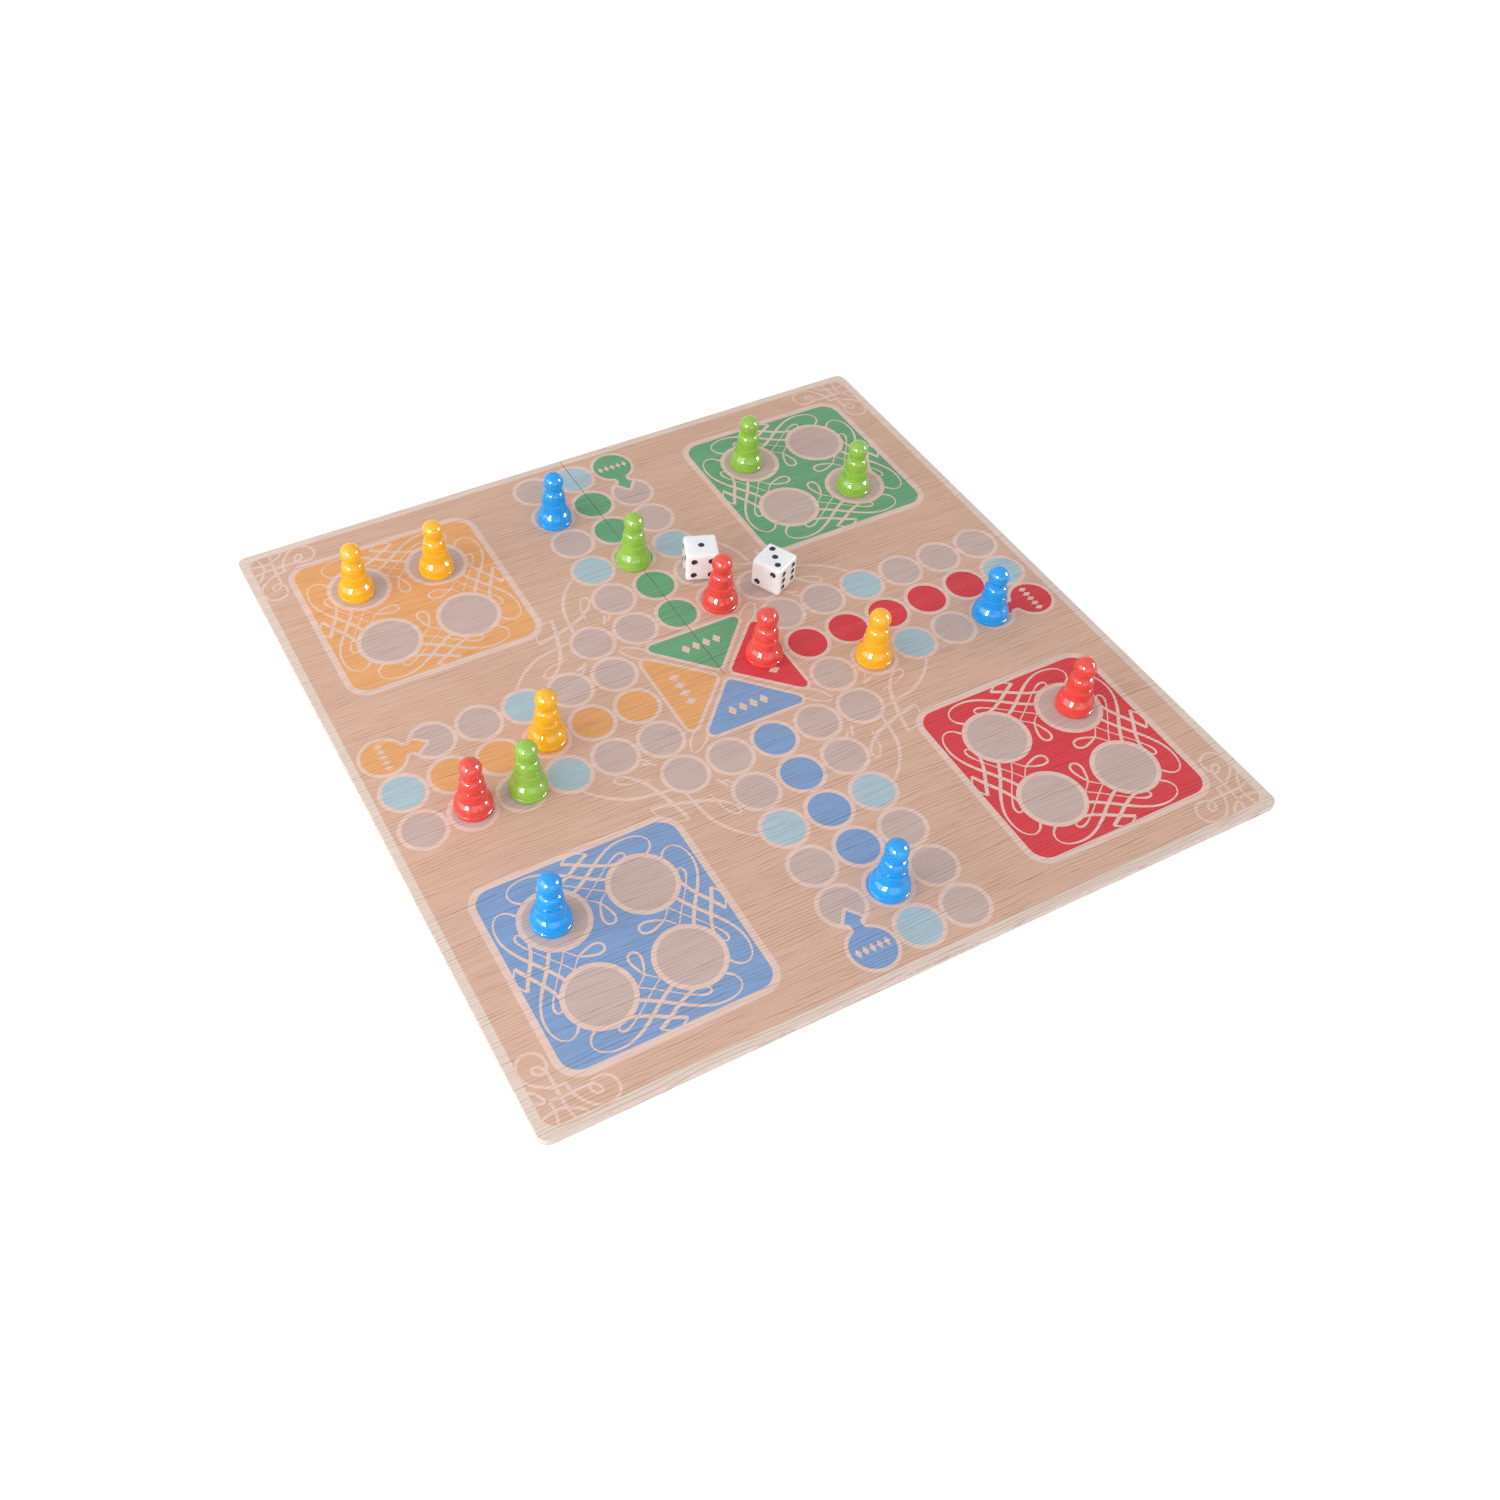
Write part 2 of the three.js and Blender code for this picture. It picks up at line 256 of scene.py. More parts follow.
for name, wall in WALLS.items():
    towards, distance = Vector(wall["towards"]).normalized(), wall["distance"]
    power = wall["light"] * (math.pi * distance) ** 2 / towards.z
    hang_lamp(name, towards, distance, WALL_ANGLES, power)
pane_area = PANE_ANGLES[0] * PANE_ANGLES[1] * WINDOW_DISTANCE ** 2
pane_power = WINDOW_BRIGHTNESS * math.pi * pane_area
for name, direction in WINDOWS.items():
    towards = Vector(direction).normalized()
    for pane, way in enumerate((-1, 1), 1):
        aside = way * (PANE_ANGLES[0] + PANE_GAP) / 2
        holder = hang_lamp(f"{name}_{pane}", towards, WINDOW_DISTANCE, PANE_ANGLES, pane_power, aside)
        holder.visible_diffuse = False

# %% [markdown]
# ## The floor
# The floor is plain white and keeps the soft shadow under the board. A half that folds under lies
# one board lower, so the floor has a shallow tray there, which the open board covers.

# %% Lay the floor
FLOOR_HALF = 4.0
FLOOR_DROP = 0.1 * MM
TRAY_HALF = BOARD_HALF - 1.3 * MM
TRAY_DEPTH = 3.1 * MM
FLOOR_RINGS = [(FLOOR_HALF, FLOOR_DROP), (TRAY_HALF, FLOOR_DROP), (TRAY_HALF, TRAY_DEPTH)]
CORNERS = [(-1, -1), (1, -1), (1, 1), (-1, 1)]
FLOOR_TONE = (0.93, 0.93, 0.93, 1)
FLOOR_GLOW = 0.35


def finish_shell(name, constants):
    """A new material, its tree and its shader. What is the same all over is set on the shader."""
    made = bpy.data.materials.new(name)
    made.use_nodes = True
    tree = made.node_tree
    tree.nodes.clear()
    shader = add(tree, "ShaderNodeBsdfPrincipled", constants)
    add(tree, "ShaderNodeOutputMaterial", {"Surface": shader.outputs[0]})
    return made, tree, shader


places = [(x * half, y * half, -depth) for half, depth in FLOOR_RINGS for x, y in CORNERS]
quads = [(8, 9, 10, 11)]
for first in (0, 4):
    ring = [*range(first, first + 4), first]
    quads += [(a, b, b + 4, a + 4) for a, b in zip(ring, ring[1:])]
floor_mesh = bpy.data.meshes.new("floor")
floor_mesh.from_pydata(places, [], quads)
floor = new_object("floor", floor_mesh)
matt = {"Base Color": FLOOR_TONE, "Roughness": 0.9, "Specular IOR Level": 0.0, "Emission Color": WHITE}
floor_white, tree, shader = finish_shell("floor_white", matt)
fill(tree, shader, {"Emission Strength": maths(tree, "MULTIPLY", plainly_seen(tree), FLOOR_GLOW)})
floor_mesh.materials.append(floor_white)
floor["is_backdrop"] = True
print("floor of", len(quads), "faces, with a tray", round(TRAY_DEPTH / MM, 2), "mm deep")

# %% [markdown]
# ## Wood grain under every ink
# The whole sheet is printed with pale oak, and the coloured inks are thin enough for its grain to
# show through them. One shader group therefore lays the same grain under any ink it is given.
# The streaks run along X, so the coordinates are squeezed along X and stretched along Y before
# they reach the noise. Object coordinates keep the grain unbroken from panel to panel, and at the
# front and back rims the veins follow the sheet down over the edge. Along the creases the print is
# paler in patches.

# %% Helpers for shader groups
SOCKETS = ("Color", "Float", "Int", "Vector", "Geometry", "Material")
COLOUR, NUMBER, WHOLE, VECTOR, GEOMETRY, MATERIAL = (f"NodeSocket{kind}" for kind in SOCKETS)


def group_of(name, kind, inputs, outputs):
    """An empty node group with named sockets, what comes into it, and its end node."""
    made = bpy.data.node_groups.new(name, kind)
    for way, sockets in (("INPUT", inputs), ("OUTPUT", outputs)):
        for label, socket in sockets.items():
            made.interface.new_socket(label, in_out=way, socket_type=socket)
    return made, made.nodes.new("NodeGroupInput").outputs, made.nodes.new("NodeGroupOutput")


def object_place(tree):
    return add(tree, "ShaderNodeTexCoord").outputs["Object"]


def parted(tree, vector):
    """A vector's three numbers, by the names of their axes."""
    return add(tree, "ShaderNodeSeparateXYZ", {0: vector}).outputs


def noise(tree, place, scale, detail, output="Fac", **more):
    """Smooth noise with so many features a metre."""
    inputs = {"Vector": place, "Scale": scale, "Detail": detail, **more}
    return add(tree, "ShaderNodeTexNoise", inputs).outputs[output]


def streaks(tree, place, along, across):
    """Noise stretched along the grain: so many features a metre along X and across it."""
    return noise(tree, vectors(tree, "MULTIPLY", place, (along, across, across)), 1.0, 2.0)


# %% The grain's marks
SWAY = (0.0, 5.0 * MM, 0.0)
SWAYS_PER_METRE = 14.0
VEINS_PER_METRE = 680.0
VEIN_DRIFT = 3.0
VEIN_EDGES = (0.55, 1.0)
RIM_REACH = 0.9 * MM

# So many features a metre along and across the grain, and the two levels between which they show.
MARKS = {
    "dashes": (26.0, 560.0, 0.36, 0.60),
    "bands": (6.0, 110.0, 0.30, 0.70),
    "pores": (70.0, 2400.0, 0.50, 0.68),
}
grain_group, grain_in, grain_out = group_of(
    "oak_under_ink",
    "ShaderNodeTree",
    {"Ink": COLOUR, "Grain": NUMBER},
    {"Color": COLOUR, "Sheen Mask": NUMBER, "Height": NUMBER},
)
g = grain_group
raw = object_place(g)
sway = vectors(g, "MULTIPLY", noise(g, raw, SWAYS_PER_METRE, 1.0, "Color"), SWAY)
swayed = vectors(g, "ADD", raw, sway)
marks = {}
for name, (along, across, low, high) in MARKS.items():
    marks[name] = remap(g, streaks(g, swayed, along, across), low, high)
place = parted(g, swayed)
off_middle = maths(g, "ABSOLUTE", place["Y"])
at_rim = remap(g, off_middle, BOARD_HALF - RIM_REACH, BOARD_HALF - RIM_REACH / 3)
across = maths(g, "MULTIPLY_ADD", place["Z"], at_rim, place["Y"])
drift = maths(g, "MULTIPLY", streaks(g, swayed, 22.0, 150.0), VEIN_DRIFT)
phase = maths(g, "MULTIPLY_ADD", across, VEINS_PER_METRE, drift)
waves = maths(g, "SINE", maths(g, "MULTIPLY", phase, 2 * math.pi))
marks["veins"] = maths(g, "MULTIPLY", remap(g, waves, *VEIN_EDGES), marks["dashes"])
print("marks in the grain:", sorted(marks))

# %% The grain's tones
GRAIN_DARK = (0.68, 0.57, 0.50, 1)
GRAIN_PALE = (1.06, 1.05, 1.04, 1)
DARKNESS = {"veins": 0.62, "pores": 0.36, "bands": 0.08}
CREASE_PALE_SPAN = (0.30 * MM, 0.08 * MM)
CREASE_PALE = 0.12
FIBRES_PER_METRE = 2600.0
dark = 0.0
for name, share in DARKNESS.items():
    dark = maths(g, "MULTIPLY_ADD", marks[name], share, dark, clamp=True)
pale = maths(g, "SUBTRACT", 1.0, marks["veins"])
tone = grain_in["Ink"]
for amount, tint in ((pale, GRAIN_PALE), (dark, GRAIN_DARK)):
    tinted = blended(g, 1.0, grain_in["Ink"], tint, "MULTIPLY")
    tone = blended(g, maths(g, "MULTIPLY", amount, grain_in["Grain"]), tone, tinted)
beside = parted(g, vectors(g, "ABSOLUTE", raw))
# The print turns paler in patches within a fraction of a millimetre of the creases.
at_crease = remap(g, maths(g, "MINIMUM", beside["X"], beside["Y"]), *CREASE_PALE_SPAN)
patchy = remap(g, noise(g, raw, 300.0, 3.0), 0.35, 0.60, 0.0, CREASE_PALE)
tone = blended(g, maths(g, "MULTIPLY", at_crease, patchy), tone, colour("#ece3dc"))
fibre = noise(g, raw, FIBRES_PER_METRE, 2.0)
fill(g, grain_out, {"Color": tone, "Sheen Mask": marks["bands"], "Height": fibre})
print("oak_under_ink has", len(g.nodes), "nodes")

# %% [markdown]
# ## The inks
# Every ink is one material with the grain group under it. Paper print is satin: its roughness
# drifts a little with the grain, and the paper's fibre lifts it by a few microns. The colours are
# the print's own, seen in even light.

# %% Make the ink materials
PRINT_SHEEN = 0.15
PRINT_ROUGHNESS = (0.54, 0.66)
FIBRE_RELIEF = (0.12, 0.02 * MM)


def bump(tree, height, strength, distance):
    """The normals of a skin with that relief."""
    inputs = {"Height": height, "Strength": strength, "Distance": distance}
    return add(tree, "ShaderNodeBump", inputs).outputs[0]


def use_group(tree, group, inputs):
    return add(tree, "ShaderNodeGroup", inputs, node_tree=group).outputs


def print_shell(name):
    return finish_shell(name, {"Specular IOR Level": PRINT_SHEEN})


def on_oak(tree, code, grain):
    """An ink with so much of the grain showing: its colour, its roughness and its relief."""
    oak = use_group(tree, grain_group, {"Ink": colour(code), "Grain": grain})
    rough = remap(tree, oak["Sheen Mask"], 0.0, 1.0, *PRINT_ROUGHNESS)
    return oak["Color"], rough, bump(tree, oak["Height"], *FIBRE_RELIEF)


def ink(name, code, grain):
    made, tree, shader = print_shell(name)
    tone, rough, relief = on_oak(tree, code, grain)
    fill(tree, shader, {"Base Color": tone, "Roughness": rough, "Normal": relief})
    return made


INKS = {
    "green": ink("ink_green", "#6ca77f", 0.95),
    "yellow": ink("ink_orange", "#e5a972", 0.85),
    "blue": ink("ink_blue", "#83a0cb", 0.95),
    "red": ink("ink_red", "#d8464f", 0.90),
    "plain": ink("ink_dove", "#c7b1ab", 0.85),
    "light": ink("ink_pale_blue", "#acc3ce", 0.85),
    "line": ink("ink_cream", "#e2c6bb", 1.0),
}
print("inks:", sorted(INKS))

# %% [markdown]
# ## The sheet's ground and its pale border
# The ground is oak, with a pale border round the whole board that carries on over the edge and
# in under the back. The border needs no shape of its own: it is a matter of where a point is, so
# the material measures the distance to a rounded square. The same sum makes the soft pale scuff
# that the edges get from handling.

# %% The ground material
BORDER_LINE = 7.58 * CELL
BORDER_ROUND = 0.26 * CELL
BORDER_BLUR = 0.05 * MM
TURNED_UNDER = (0.6 * MM, 0.5 * MM)
SCUFF_WIDTH = 0.7 * MM
SCUFF_PALE = 0.35
SCUFF_ROUGH = 0.2
RUBS_PER_METRE = 420.0


def rounded_square_distance(tree, place, half, corner):
    """How far a place lies outside a rounded square round the Z axis."""
    flat = vectors(tree, "MULTIPLY", place, (1, 1, 0))
    inner = (half - corner, half - corner, 0)
    past = vectors(tree, "SUBTRACT", vectors(tree, "ABSOLUTE", flat), inner)
    past = vectors(tree, "MAXIMUM", past, (0, 0, 0))
    length = add(tree, "ShaderNodeVectorMath", {0: past}, operation="LENGTH").outputs["Value"]
    return maths(tree, "SUBTRACT", length, corner)


ground, tree, shader = print_shell("printed_ground")
place = object_place(tree)
outside = rounded_square_distance(tree, place, BORDER_LINE, BORDER_ROUND)
in_border = remap(tree, outside, -BORDER_BLUR, BORDER_BLUR)
turned_in = remap(tree, parted(tree, place)["Z"], *TURNED_UNDER)
in_border = maths(tree, "MAXIMUM", in_border, turned_in)
wood, rough, relief = on_oak(tree, "#d4b09c", 1.0)
cream = use_group(tree, grain_group, {"Ink": colour("#dfcdc3"), "Grain": 0.95})["Color"]
printed = blended(tree, in_border, wood, cream)
to_edge = BOARD_HALF - BORDER_LINE
at_edge = remap(tree, outside, to_edge - SCUFF_WIDTH, to_edge)
scuff = maths(tree, "MULTIPLY", at_edge, remap(tree, noise(tree, place, RUBS_PER_METRE, 4.0), 0.50, 0.66))
printed = blended(tree, maths(tree, "MULTIPLY", scuff, SCUFF_PALE), printed, colour("#f1e8e1"))
rough = maths(tree, "MULTIPLY_ADD", scuff, SCUFF_ROUGH, rough)
fill(tree, shader, {"Base Color": printed, "Roughness": rough, "Normal": relief})
print("ground has", len(tree.nodes), "nodes")

# %% [markdown]
# ## Pieces from meshes
# Everything that follows ends in the same way: a mesh in the frame's place, an object at the
# origin and a body to ride on. One helper does that. Quarters are drawn
# at the top right and then turned into place, mesh and all, so the object itself stays unturned.

# %% Helpers for pieces
def piece(name, mesh, body, replaced=()):
    """An object at the origin that rides on a body, in place of the solids that it replaces."""
    mesh.name = name
    made = new_object(name, mesh)
    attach(made, body)
    if replaced:
        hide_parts(*replaced)
    print(name, len(mesh.polygons), "faces")


def turn_to_quarter(mesh, side):
    mesh.transform(Matrix.Rotation(QUARTERS.index(side) * RIGHT_ANGLE, 4, "Z"))
    return mesh


def mesh_from(shape, finishes=()):
    """A mesh from an edited shape, with its faces turned outwards."""
    bmesh.ops.recalc_face_normals(shape, faces=shape.faces)
    made = bpy.data.meshes.new("shape")
    shape.to_mesh(made)
    shape.free()
    for finish in finishes:
        made.materials.append(finish)
    return made


def shade(mesh, degrees):
    """Smooth shading, broken at edges that are sharper than so many degrees."""
    mesh.shade_smooth()
    mesh.set_sharp_from_angle(angle=math.radians(degrees))
    return mesh


# %% [markdown]
# ## The wrapped sheets
# Each panel's sheet covers the top, turns down over the two outer edges and in under the back.
# It is cut from a block: the outline is extruded, its outer rims are rolled over as paper is when
# it is wrapped round board, and the room for the core and the liner is taken out. Its top lies
# a hair below the solid's, so that the films of ink can stand on it and end at the true height.

# %% The sheets' sizes
INK_ROOM = 0.06 * MM
SHEET_TOP = BOARD_TOP - INK_ROOM
CORE_LOW, CORE_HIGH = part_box("panel_core_green")
LINER_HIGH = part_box("back_liner_green")[1]
CORNER_RADIUS = 4.0 * MM
CORNER_STEPS = 12
RIM_RADIUS = 0.45 * MM
RIM_STEPS = 4
SHARP_RIM = 40
TURN_IN = 10.0 * MM
HAIR = 1e-9

# Half the gap that shows at each crease: a slit at the green arm, a fine fold at the others.
CREASE_HALF = {"green": 0.14 * MM, "red": 0.05 * MM, "yellow": 0.05 * MM, "blue": 0.02 * MM}


def crease_edges(side):
    """Where a quarter begins, across its own arm and across its neighbour's."""
    return CREASE_HALF[side], CREASE_HALF[neighbour(side)]


def panel_outline(left, front, far, radius):
    """Corners of a panel, square at the creases and round at the outside."""
    centre = far - radius
    round_corner = []
    for step in range(CORNER_STEPS + 1):
        angle = step / CORNER_STEPS * math.pi / 2
        round_corner.append((centre + radius * math.cos(angle), centre + radius * math.sin(angle)))
    return [(left, front), (far, front), *round_corner, (left, far)]


def block(outline, bottom, top):
    """A closed slab of that outline, as an edited shape."""
    shape = bmesh.new()
    low = [shape.verts.new((x, y, bottom)) for x, y in outline]
    high = [shape.verts.new((x, y, top)) for x, y in outline]
    shape.faces.new(reversed(low))
    shape.faces.new(high)
    for i in range(len(outline)):
        j = (i + 1) % len(outline)
        shape.faces.new((low[i], low[j], high[j], high[i]))
    return shape


# %% Cut room for the core
def cut_away(mesh, cutters):
    """The mesh with the cutters' room taken out of it."""
    body = new_object("cut_body", mesh)
    tools = [new_object("cut_tool", cutter) for cutter in cutters]
    for tool in tools:
        modifier = body.modifiers.new("cut", "BOOLEAN")
        modifier.operation = "DIFFERENCE"
        modifier.solver = "EXACT"
        modifier.object = tool
    graph = bpy.context.evaluated_depsgraph_get()
    made = bpy.data.meshes.new_from_object(body.evaluated_get(graph))
    for used in (body, *tools):
        bpy.data.objects.remove(used)
    return made


# %% Wrap the four panels
def is_rim(edge, left, front):
    """Whether an edge of a panel is level and on the outside, where the paper is rolled over."""
    a, b = (v.co for v in edge.verts)
    level = abs(a.z - b.z) < HAIR
    outer = min(max(a.x, a.y), max(b.x, b.y)) > BOARD_HALF - CORNER_RADIUS
    at_crease = max(a.x, b.x) < left + HAIR or max(a.y, b.y) < front + HAIR
    return level and outer and not at_crease


def wrapped_sheet(side):
    left, front = crease_edges(side)
    shape = block(panel_outline(left, front, BOARD_HALF, CORNER_RADIUS), 0, SHEET_TOP)
    rims = [edge for edge in shape.edges if is_rim(edge, left, front)]
    bmesh.ops.bevel(shape, geom=rims, offset=RIM_RADIUS, segments=RIM_STEPS, profile=0.5, affect="EDGES")
    past = -CREASE_HALF["green"]
    inner = BOARD_HALF - TURN_IN
    core_room = panel_outline(past, past, CORE_HIGH.x, CORNER_RADIUS - (BOARD_HALF - CORE_HIGH.x))
    liner_room = [(past, past), (inner, past), (inner, inner), (past, inner)]
    cutters = [
        mesh_from(block(core_room, CORE_LOW.z, CORE_HIGH.z)),
        mesh_from(block(liner_room, -LINER_HIGH.z, (CORE_LOW.z + CORE_HIGH.z) / 2)),
    ]
    sheet = cut_away(mesh_from(shape, [ground]), cutters)
    return turn_to_quarter(shade(sheet, SHARP_RIM), side)


for side in QUARTERS:
    mesh = wrapped_sheet(side)
    piece(f"sheet_{side}", mesh, f"{side}_quarter", [f"face_sheet_{side}"])

# %% [markdown]
# ## Films of ink from geometry nodes
# The print repeats: some ninety cells, sixteen yard circles and a dozen scrolls, all flat shapes
# a few hundredths of a millimetre thick. Each family is a geometry tree with named inputs. They
# share one small tree that turns a flat shape into a closed film: it raises the shape, keeps a
# turned-over copy as the bottom and welds the two.

# %% The film tree
WELD = 1e-6
FILM_ENDS = {"Bottom": NUMBER, "Top": NUMBER}


def shape_node(tree, kind, inputs=None, **options):
    """The first output of a new geometry node."""
    return add(tree, f"GeometryNode{kind}", inputs, **options).outputs[0]


def combined(tree, **axes):
    """A vector from its numbers for X, Y and Z."""
    return add(tree, "ShaderNodeCombineXYZ", axes).outputs[0]


def joined(tree, *parts):
    made = add(tree, "GeometryNodeJoinGeometry")
    for part in parts:
        tree.links.new(part, made.inputs[0])
    return made.outputs[0]


def geometry_tree(name, inputs, draw):
    """A tree with named inputs. The drawing function is given them, and returns what comes out."""
    tree, inside, outside = group_of(name, "GeometryNodeTree", inputs, {"Result": GEOMETRY})
    fill(tree, outside, {"Result": draw(tree, inside)})
    print(name, "has", len(tree.nodes), "nodes")
    return tree


def draw_film(tree, inside):
    lift = combined(tree, Z=maths(tree, "SUBTRACT", inside["Top"], inside["Bottom"]))
    drop = combined(tree, Z=inside["Bottom"])
    flat = shape_node(tree, "Transform", {"Geometry": inside["Flat"], "Translation": drop})
    raised = {"Mesh": flat, "Offset": lift, "Offset Scale": 1.0, "Individual": False}
    raised = shape_node(tree, "ExtrudeMesh", raised, mode="FACES")
    under = shape_node(tree, "FlipFaces", {"Mesh": flat})
    both = joined(tree, raised, under)
    return shape_node(tree, "MergeByDistance", {"Geometry": both, "Distance": WELD})


FILM = geometry_tree("pressed_film", {"Flat": GEOMETRY, **FILM_ENDS}, draw_film)


# %% From a tree to a mesh
def film(tree, flat, inside):
    """The film of a flat shape, between the heights that come into the tree."""
    inputs = {"Flat": flat, "Bottom": inside["Bottom"], "Top": inside["Top"]}
    return shape_node(tree, "Group", inputs, node_tree=FILM)


def run_tree(tree, mesh, values):
    """The plain mesh that a tree makes from a starting mesh, with its inputs set by name."""
    holder = new_object("tree_holder", mesh)
    modifier = holder.modifiers.new("tree", "NODES")
    modifier.node_group = tree
    for item in tree.interface.items_tree:
        if item.in_out == "INPUT" and item.name in values:
            modifier[item.identifier] = values[item.name]
    graph = bpy.context.evaluated_depsgraph_get()
    made = bpy.data.meshes.new_from_object(holder.evaluated_get(graph))
    holder.modifiers.remove(modifier)
    bpy.data.objects.remove(holder)
    return made


def start_mesh(places, edges=(), **numbers):
    """A mesh for a tree to start from: points, edges, and named numbers on the points."""
    made = bpy.data.meshes.new("start")
    made.from_pydata(places, edges, [])
    for label, values in numbers.items():
        kind = "INT" if isinstance(values[0], int) else "FLOAT"
        made.attributes.new(label, kind, "POINT").data.foreach_set("value", values)
    return made


def in_cells(places):
    return [(x * CELL, y * CELL, 0.0) for x, y in places]


# %% [markdown]
# ## The cells tree
# A cell is a disc of ink in a cream ring. The tree takes bare points, each carrying the number of
# its ink, puts a disc and a ring on every one, and gives each disc the material of its number.
# The yards' circles are the same thing with other radii, so they use the same tree.

# %% Bands, copies and inks
def flat_ribbon(tree, curve, width, swell=1.0):
    """A flat band of that width along a level curve."""
    level = shape_node(tree, "SetCurveNormal", {"Curve": curve}, mode="Z_UP")
    near, far = (combined(tree, X=maths(tree, "MULTIPLY", width, half)) for half in (-0.5, 0.5))
    across = shape_node(tree, "CurvePrimitiveLine", {"Start": near, "End": far})
    return shape_node(tree, "CurveToMesh", {"Curve": level, "Profile Curve": across, "Scale": swell})


def on_points(tree, points, shape, **turned):
    """Real copies of a shape on all of the points."""
    placed = shape_node(tree, "InstanceOnPoints", {"Points": points, "Instance": shape, **turned})
    return shape_node(tree, "RealizeInstances", {"Geometry": placed})


def inked(tree, geometry, material, **where):
    """The geometry with a material on all of it, or on a selection."""
    return shape_node(tree, "SetMaterial", {"Geometry": geometry, "Material": material, **where})


# %% Build the cells tree
CELL_INKS = ("Own Ink", "Neighbour Ink", "Plain Ink", "Light Ink")
ROUND_STEPS = 56


def draw_cells(tree, inside):
    disc, ring = inside["Disc Radius"], inside["Ring Radius"]
    whole = {"Vertices": ROUND_STEPS, "Radius": disc}
    flat_disc = shape_node(tree, "MeshCircle", whole, fill_type="NGON")
    middle = maths(tree, "MULTIPLY", maths(tree, "ADD", disc, ring), 0.5)
    circle = shape_node(tree, "CurvePrimitiveCircle", {"Resolution": ROUND_STEPS, "Radius": middle})
    flat_ring = flat_ribbon(tree, circle, maths(tree, "SUBTRACT", ring, disc))
    discs = on_points(tree, inside["Points"], film(tree, flat_disc, inside))
    rings = on_points(tree, inside["Points"], film(tree, flat_ring, inside))
    number = shape_node(tree, "InputNamedAttribute", {"Name": "ink"}, data_type="INT")
    for index, label in enumerate(CELL_INKS):
        same = add(tree, "FunctionNodeCompare", {2: number, 3: index}, data_type="INT", operation="EQUAL")
        discs = inked(tree, discs, inside[label], Selection=same.outputs[0])
    return joined(tree, discs, inked(tree, rings, inside["Ring Ink"]))


sizes = {"Disc Radius": NUMBER, "Ring Radius": NUMBER}
inks = dict.fromkeys(("Ring Ink", *CELL_INKS), MATERIAL)
CELLS = geometry_tree("printed_cells", {"Points": GEOMETRY, **sizes, **inks, **FILM_ENDS}, draw_cells)

# %% [markdown]
# ## From the drawing to the quarter
# A quarter's drawing runs across the creases, where half of each middle cell belongs to the
# neighbour. So the films of one family are gathered into one shape, cut off at the two creases
# and closed there, and turned into their quarter. Their tops are flat, so they are shaded flat.

# %% Gather, trim and place the films
def gathered(meshes):
    """One shape from several meshes, and the list of their materials."""
    shape, finishes = bmesh.new(), []
    for mesh in meshes:
        first = len(shape.faces)
        shape.from_mesh(mesh)
        shape.faces.ensure_lookup_table()
        for finish in mesh.materials:
            if finish not in finishes:
                finishes.append(finish)
        places = [finishes.index(finish) for finish in mesh.materials]
        for face in shape.faces[first:]:
            face.material_index = places[face.material_index]
        bpy.data.meshes.remove(mesh)
    return shape, finishes


def trim(shape, point, normal):
    """Cuts off what lies beyond a plane and closes the cut."""
    parts = [*shape.verts, *shape.edges, *shape.faces]
    bmesh.ops.bisect_plane(shape, geom=parts, plane_co=point, plane_no=normal, clear_outer=True)
    rim = [edge for edge in shape.edges if edge.is_boundary]
    if rim:
        bmesh.ops.holes_fill(shape, edges=rim)


def press(name, side, meshes):
    """The films of one family as a piece of their quarter."""
    left, front = crease_edges(side)
    shape, finishes = gathered(meshes)
    trim(shape, (left, 0, 0), (-1, 0, 0))
    trim(shape, (0, front, 0), (0, -1, 0))
    mesh = turn_to_quarter(mesh_from(shape, finishes), side)
    mesh.shade_flat()
    piece(name, mesh, f"{side}_quarter")


# %% [markdown]
# ## The track
# Fifty-two cells run round the board and five coloured ones lead each colour home. In one quarter
# that is a column beside its own arm, a row beside the next arm, the corner cell between them and
# the two lines of shared cells on the creases. Every fourth cell is pale blue.

# %% Print the track
INK_STEP = INK_ROOM / 3
FILM_BOTTOM = SHEET_TOP - 0.05 * MM
FILM_TOPS = [SHEET_TOP + step * INK_STEP for step in (1, 2, 3)]
DISC_RADIUS, RING_RADIUS = 0.412, 0.4995
LIGHT_STEP = 4
OWN, NEIGHBOUR, PLAIN, LIGHT = range(len(CELL_INKS))


def printed_film(tree, mesh, top, values):
    """What a tree prints from a starting mesh, from under the sheet's top up to that height."""
    return run_tree(tree, mesh, {"Bottom": FILM_BOTTOM, "Top": top, **values})


def cell_films(side, cells, disc, ring, top):
    """Discs in rings at places in cells, each with the ink of its number."""
    inks = [INKS[name] for name in (side, neighbour(side), "plain", "light")]
    values = {"Disc Radius": disc * CELL, "Ring Radius": ring * CELL, "Ring Ink": INKS["line"]}
    points = start_mesh(in_cells(cells), ink=list(cells.values()))
    return printed_film(CELLS, points, top, {**values, **dict(zip(CELL_INKS, inks))})


track = {(2, 2): PLAIN, (7, 1): PLAIN, (7, 0): LIGHT, (0, 7): LIGHT}
for step in range(2, 7):
    track[(1, step)] = track[(step, 1)] = LIGHT if step == LIGHT_STEP else PLAIN
    track[(step, 0)] = NEIGHBOUR
    track[(0, step)] = OWN
for side in QUARTERS:
    press(f"track_{side}", side, [cell_films(side, track, DISC_RADIUS, RING_RADIUS, FILM_TOPS[0])])

# %% [markdown]
# ## Filled shapes with an outline
# The yards, the home triangles and the start marks are all filled outlines with round corners and
# a cream line round them. One tree makes them all: it takes a closed loop of edges, rounds its
# corners, fills it with one ink and runs a band along it with another.

# %% Build the badge tree
FILLET_STEPS = 8


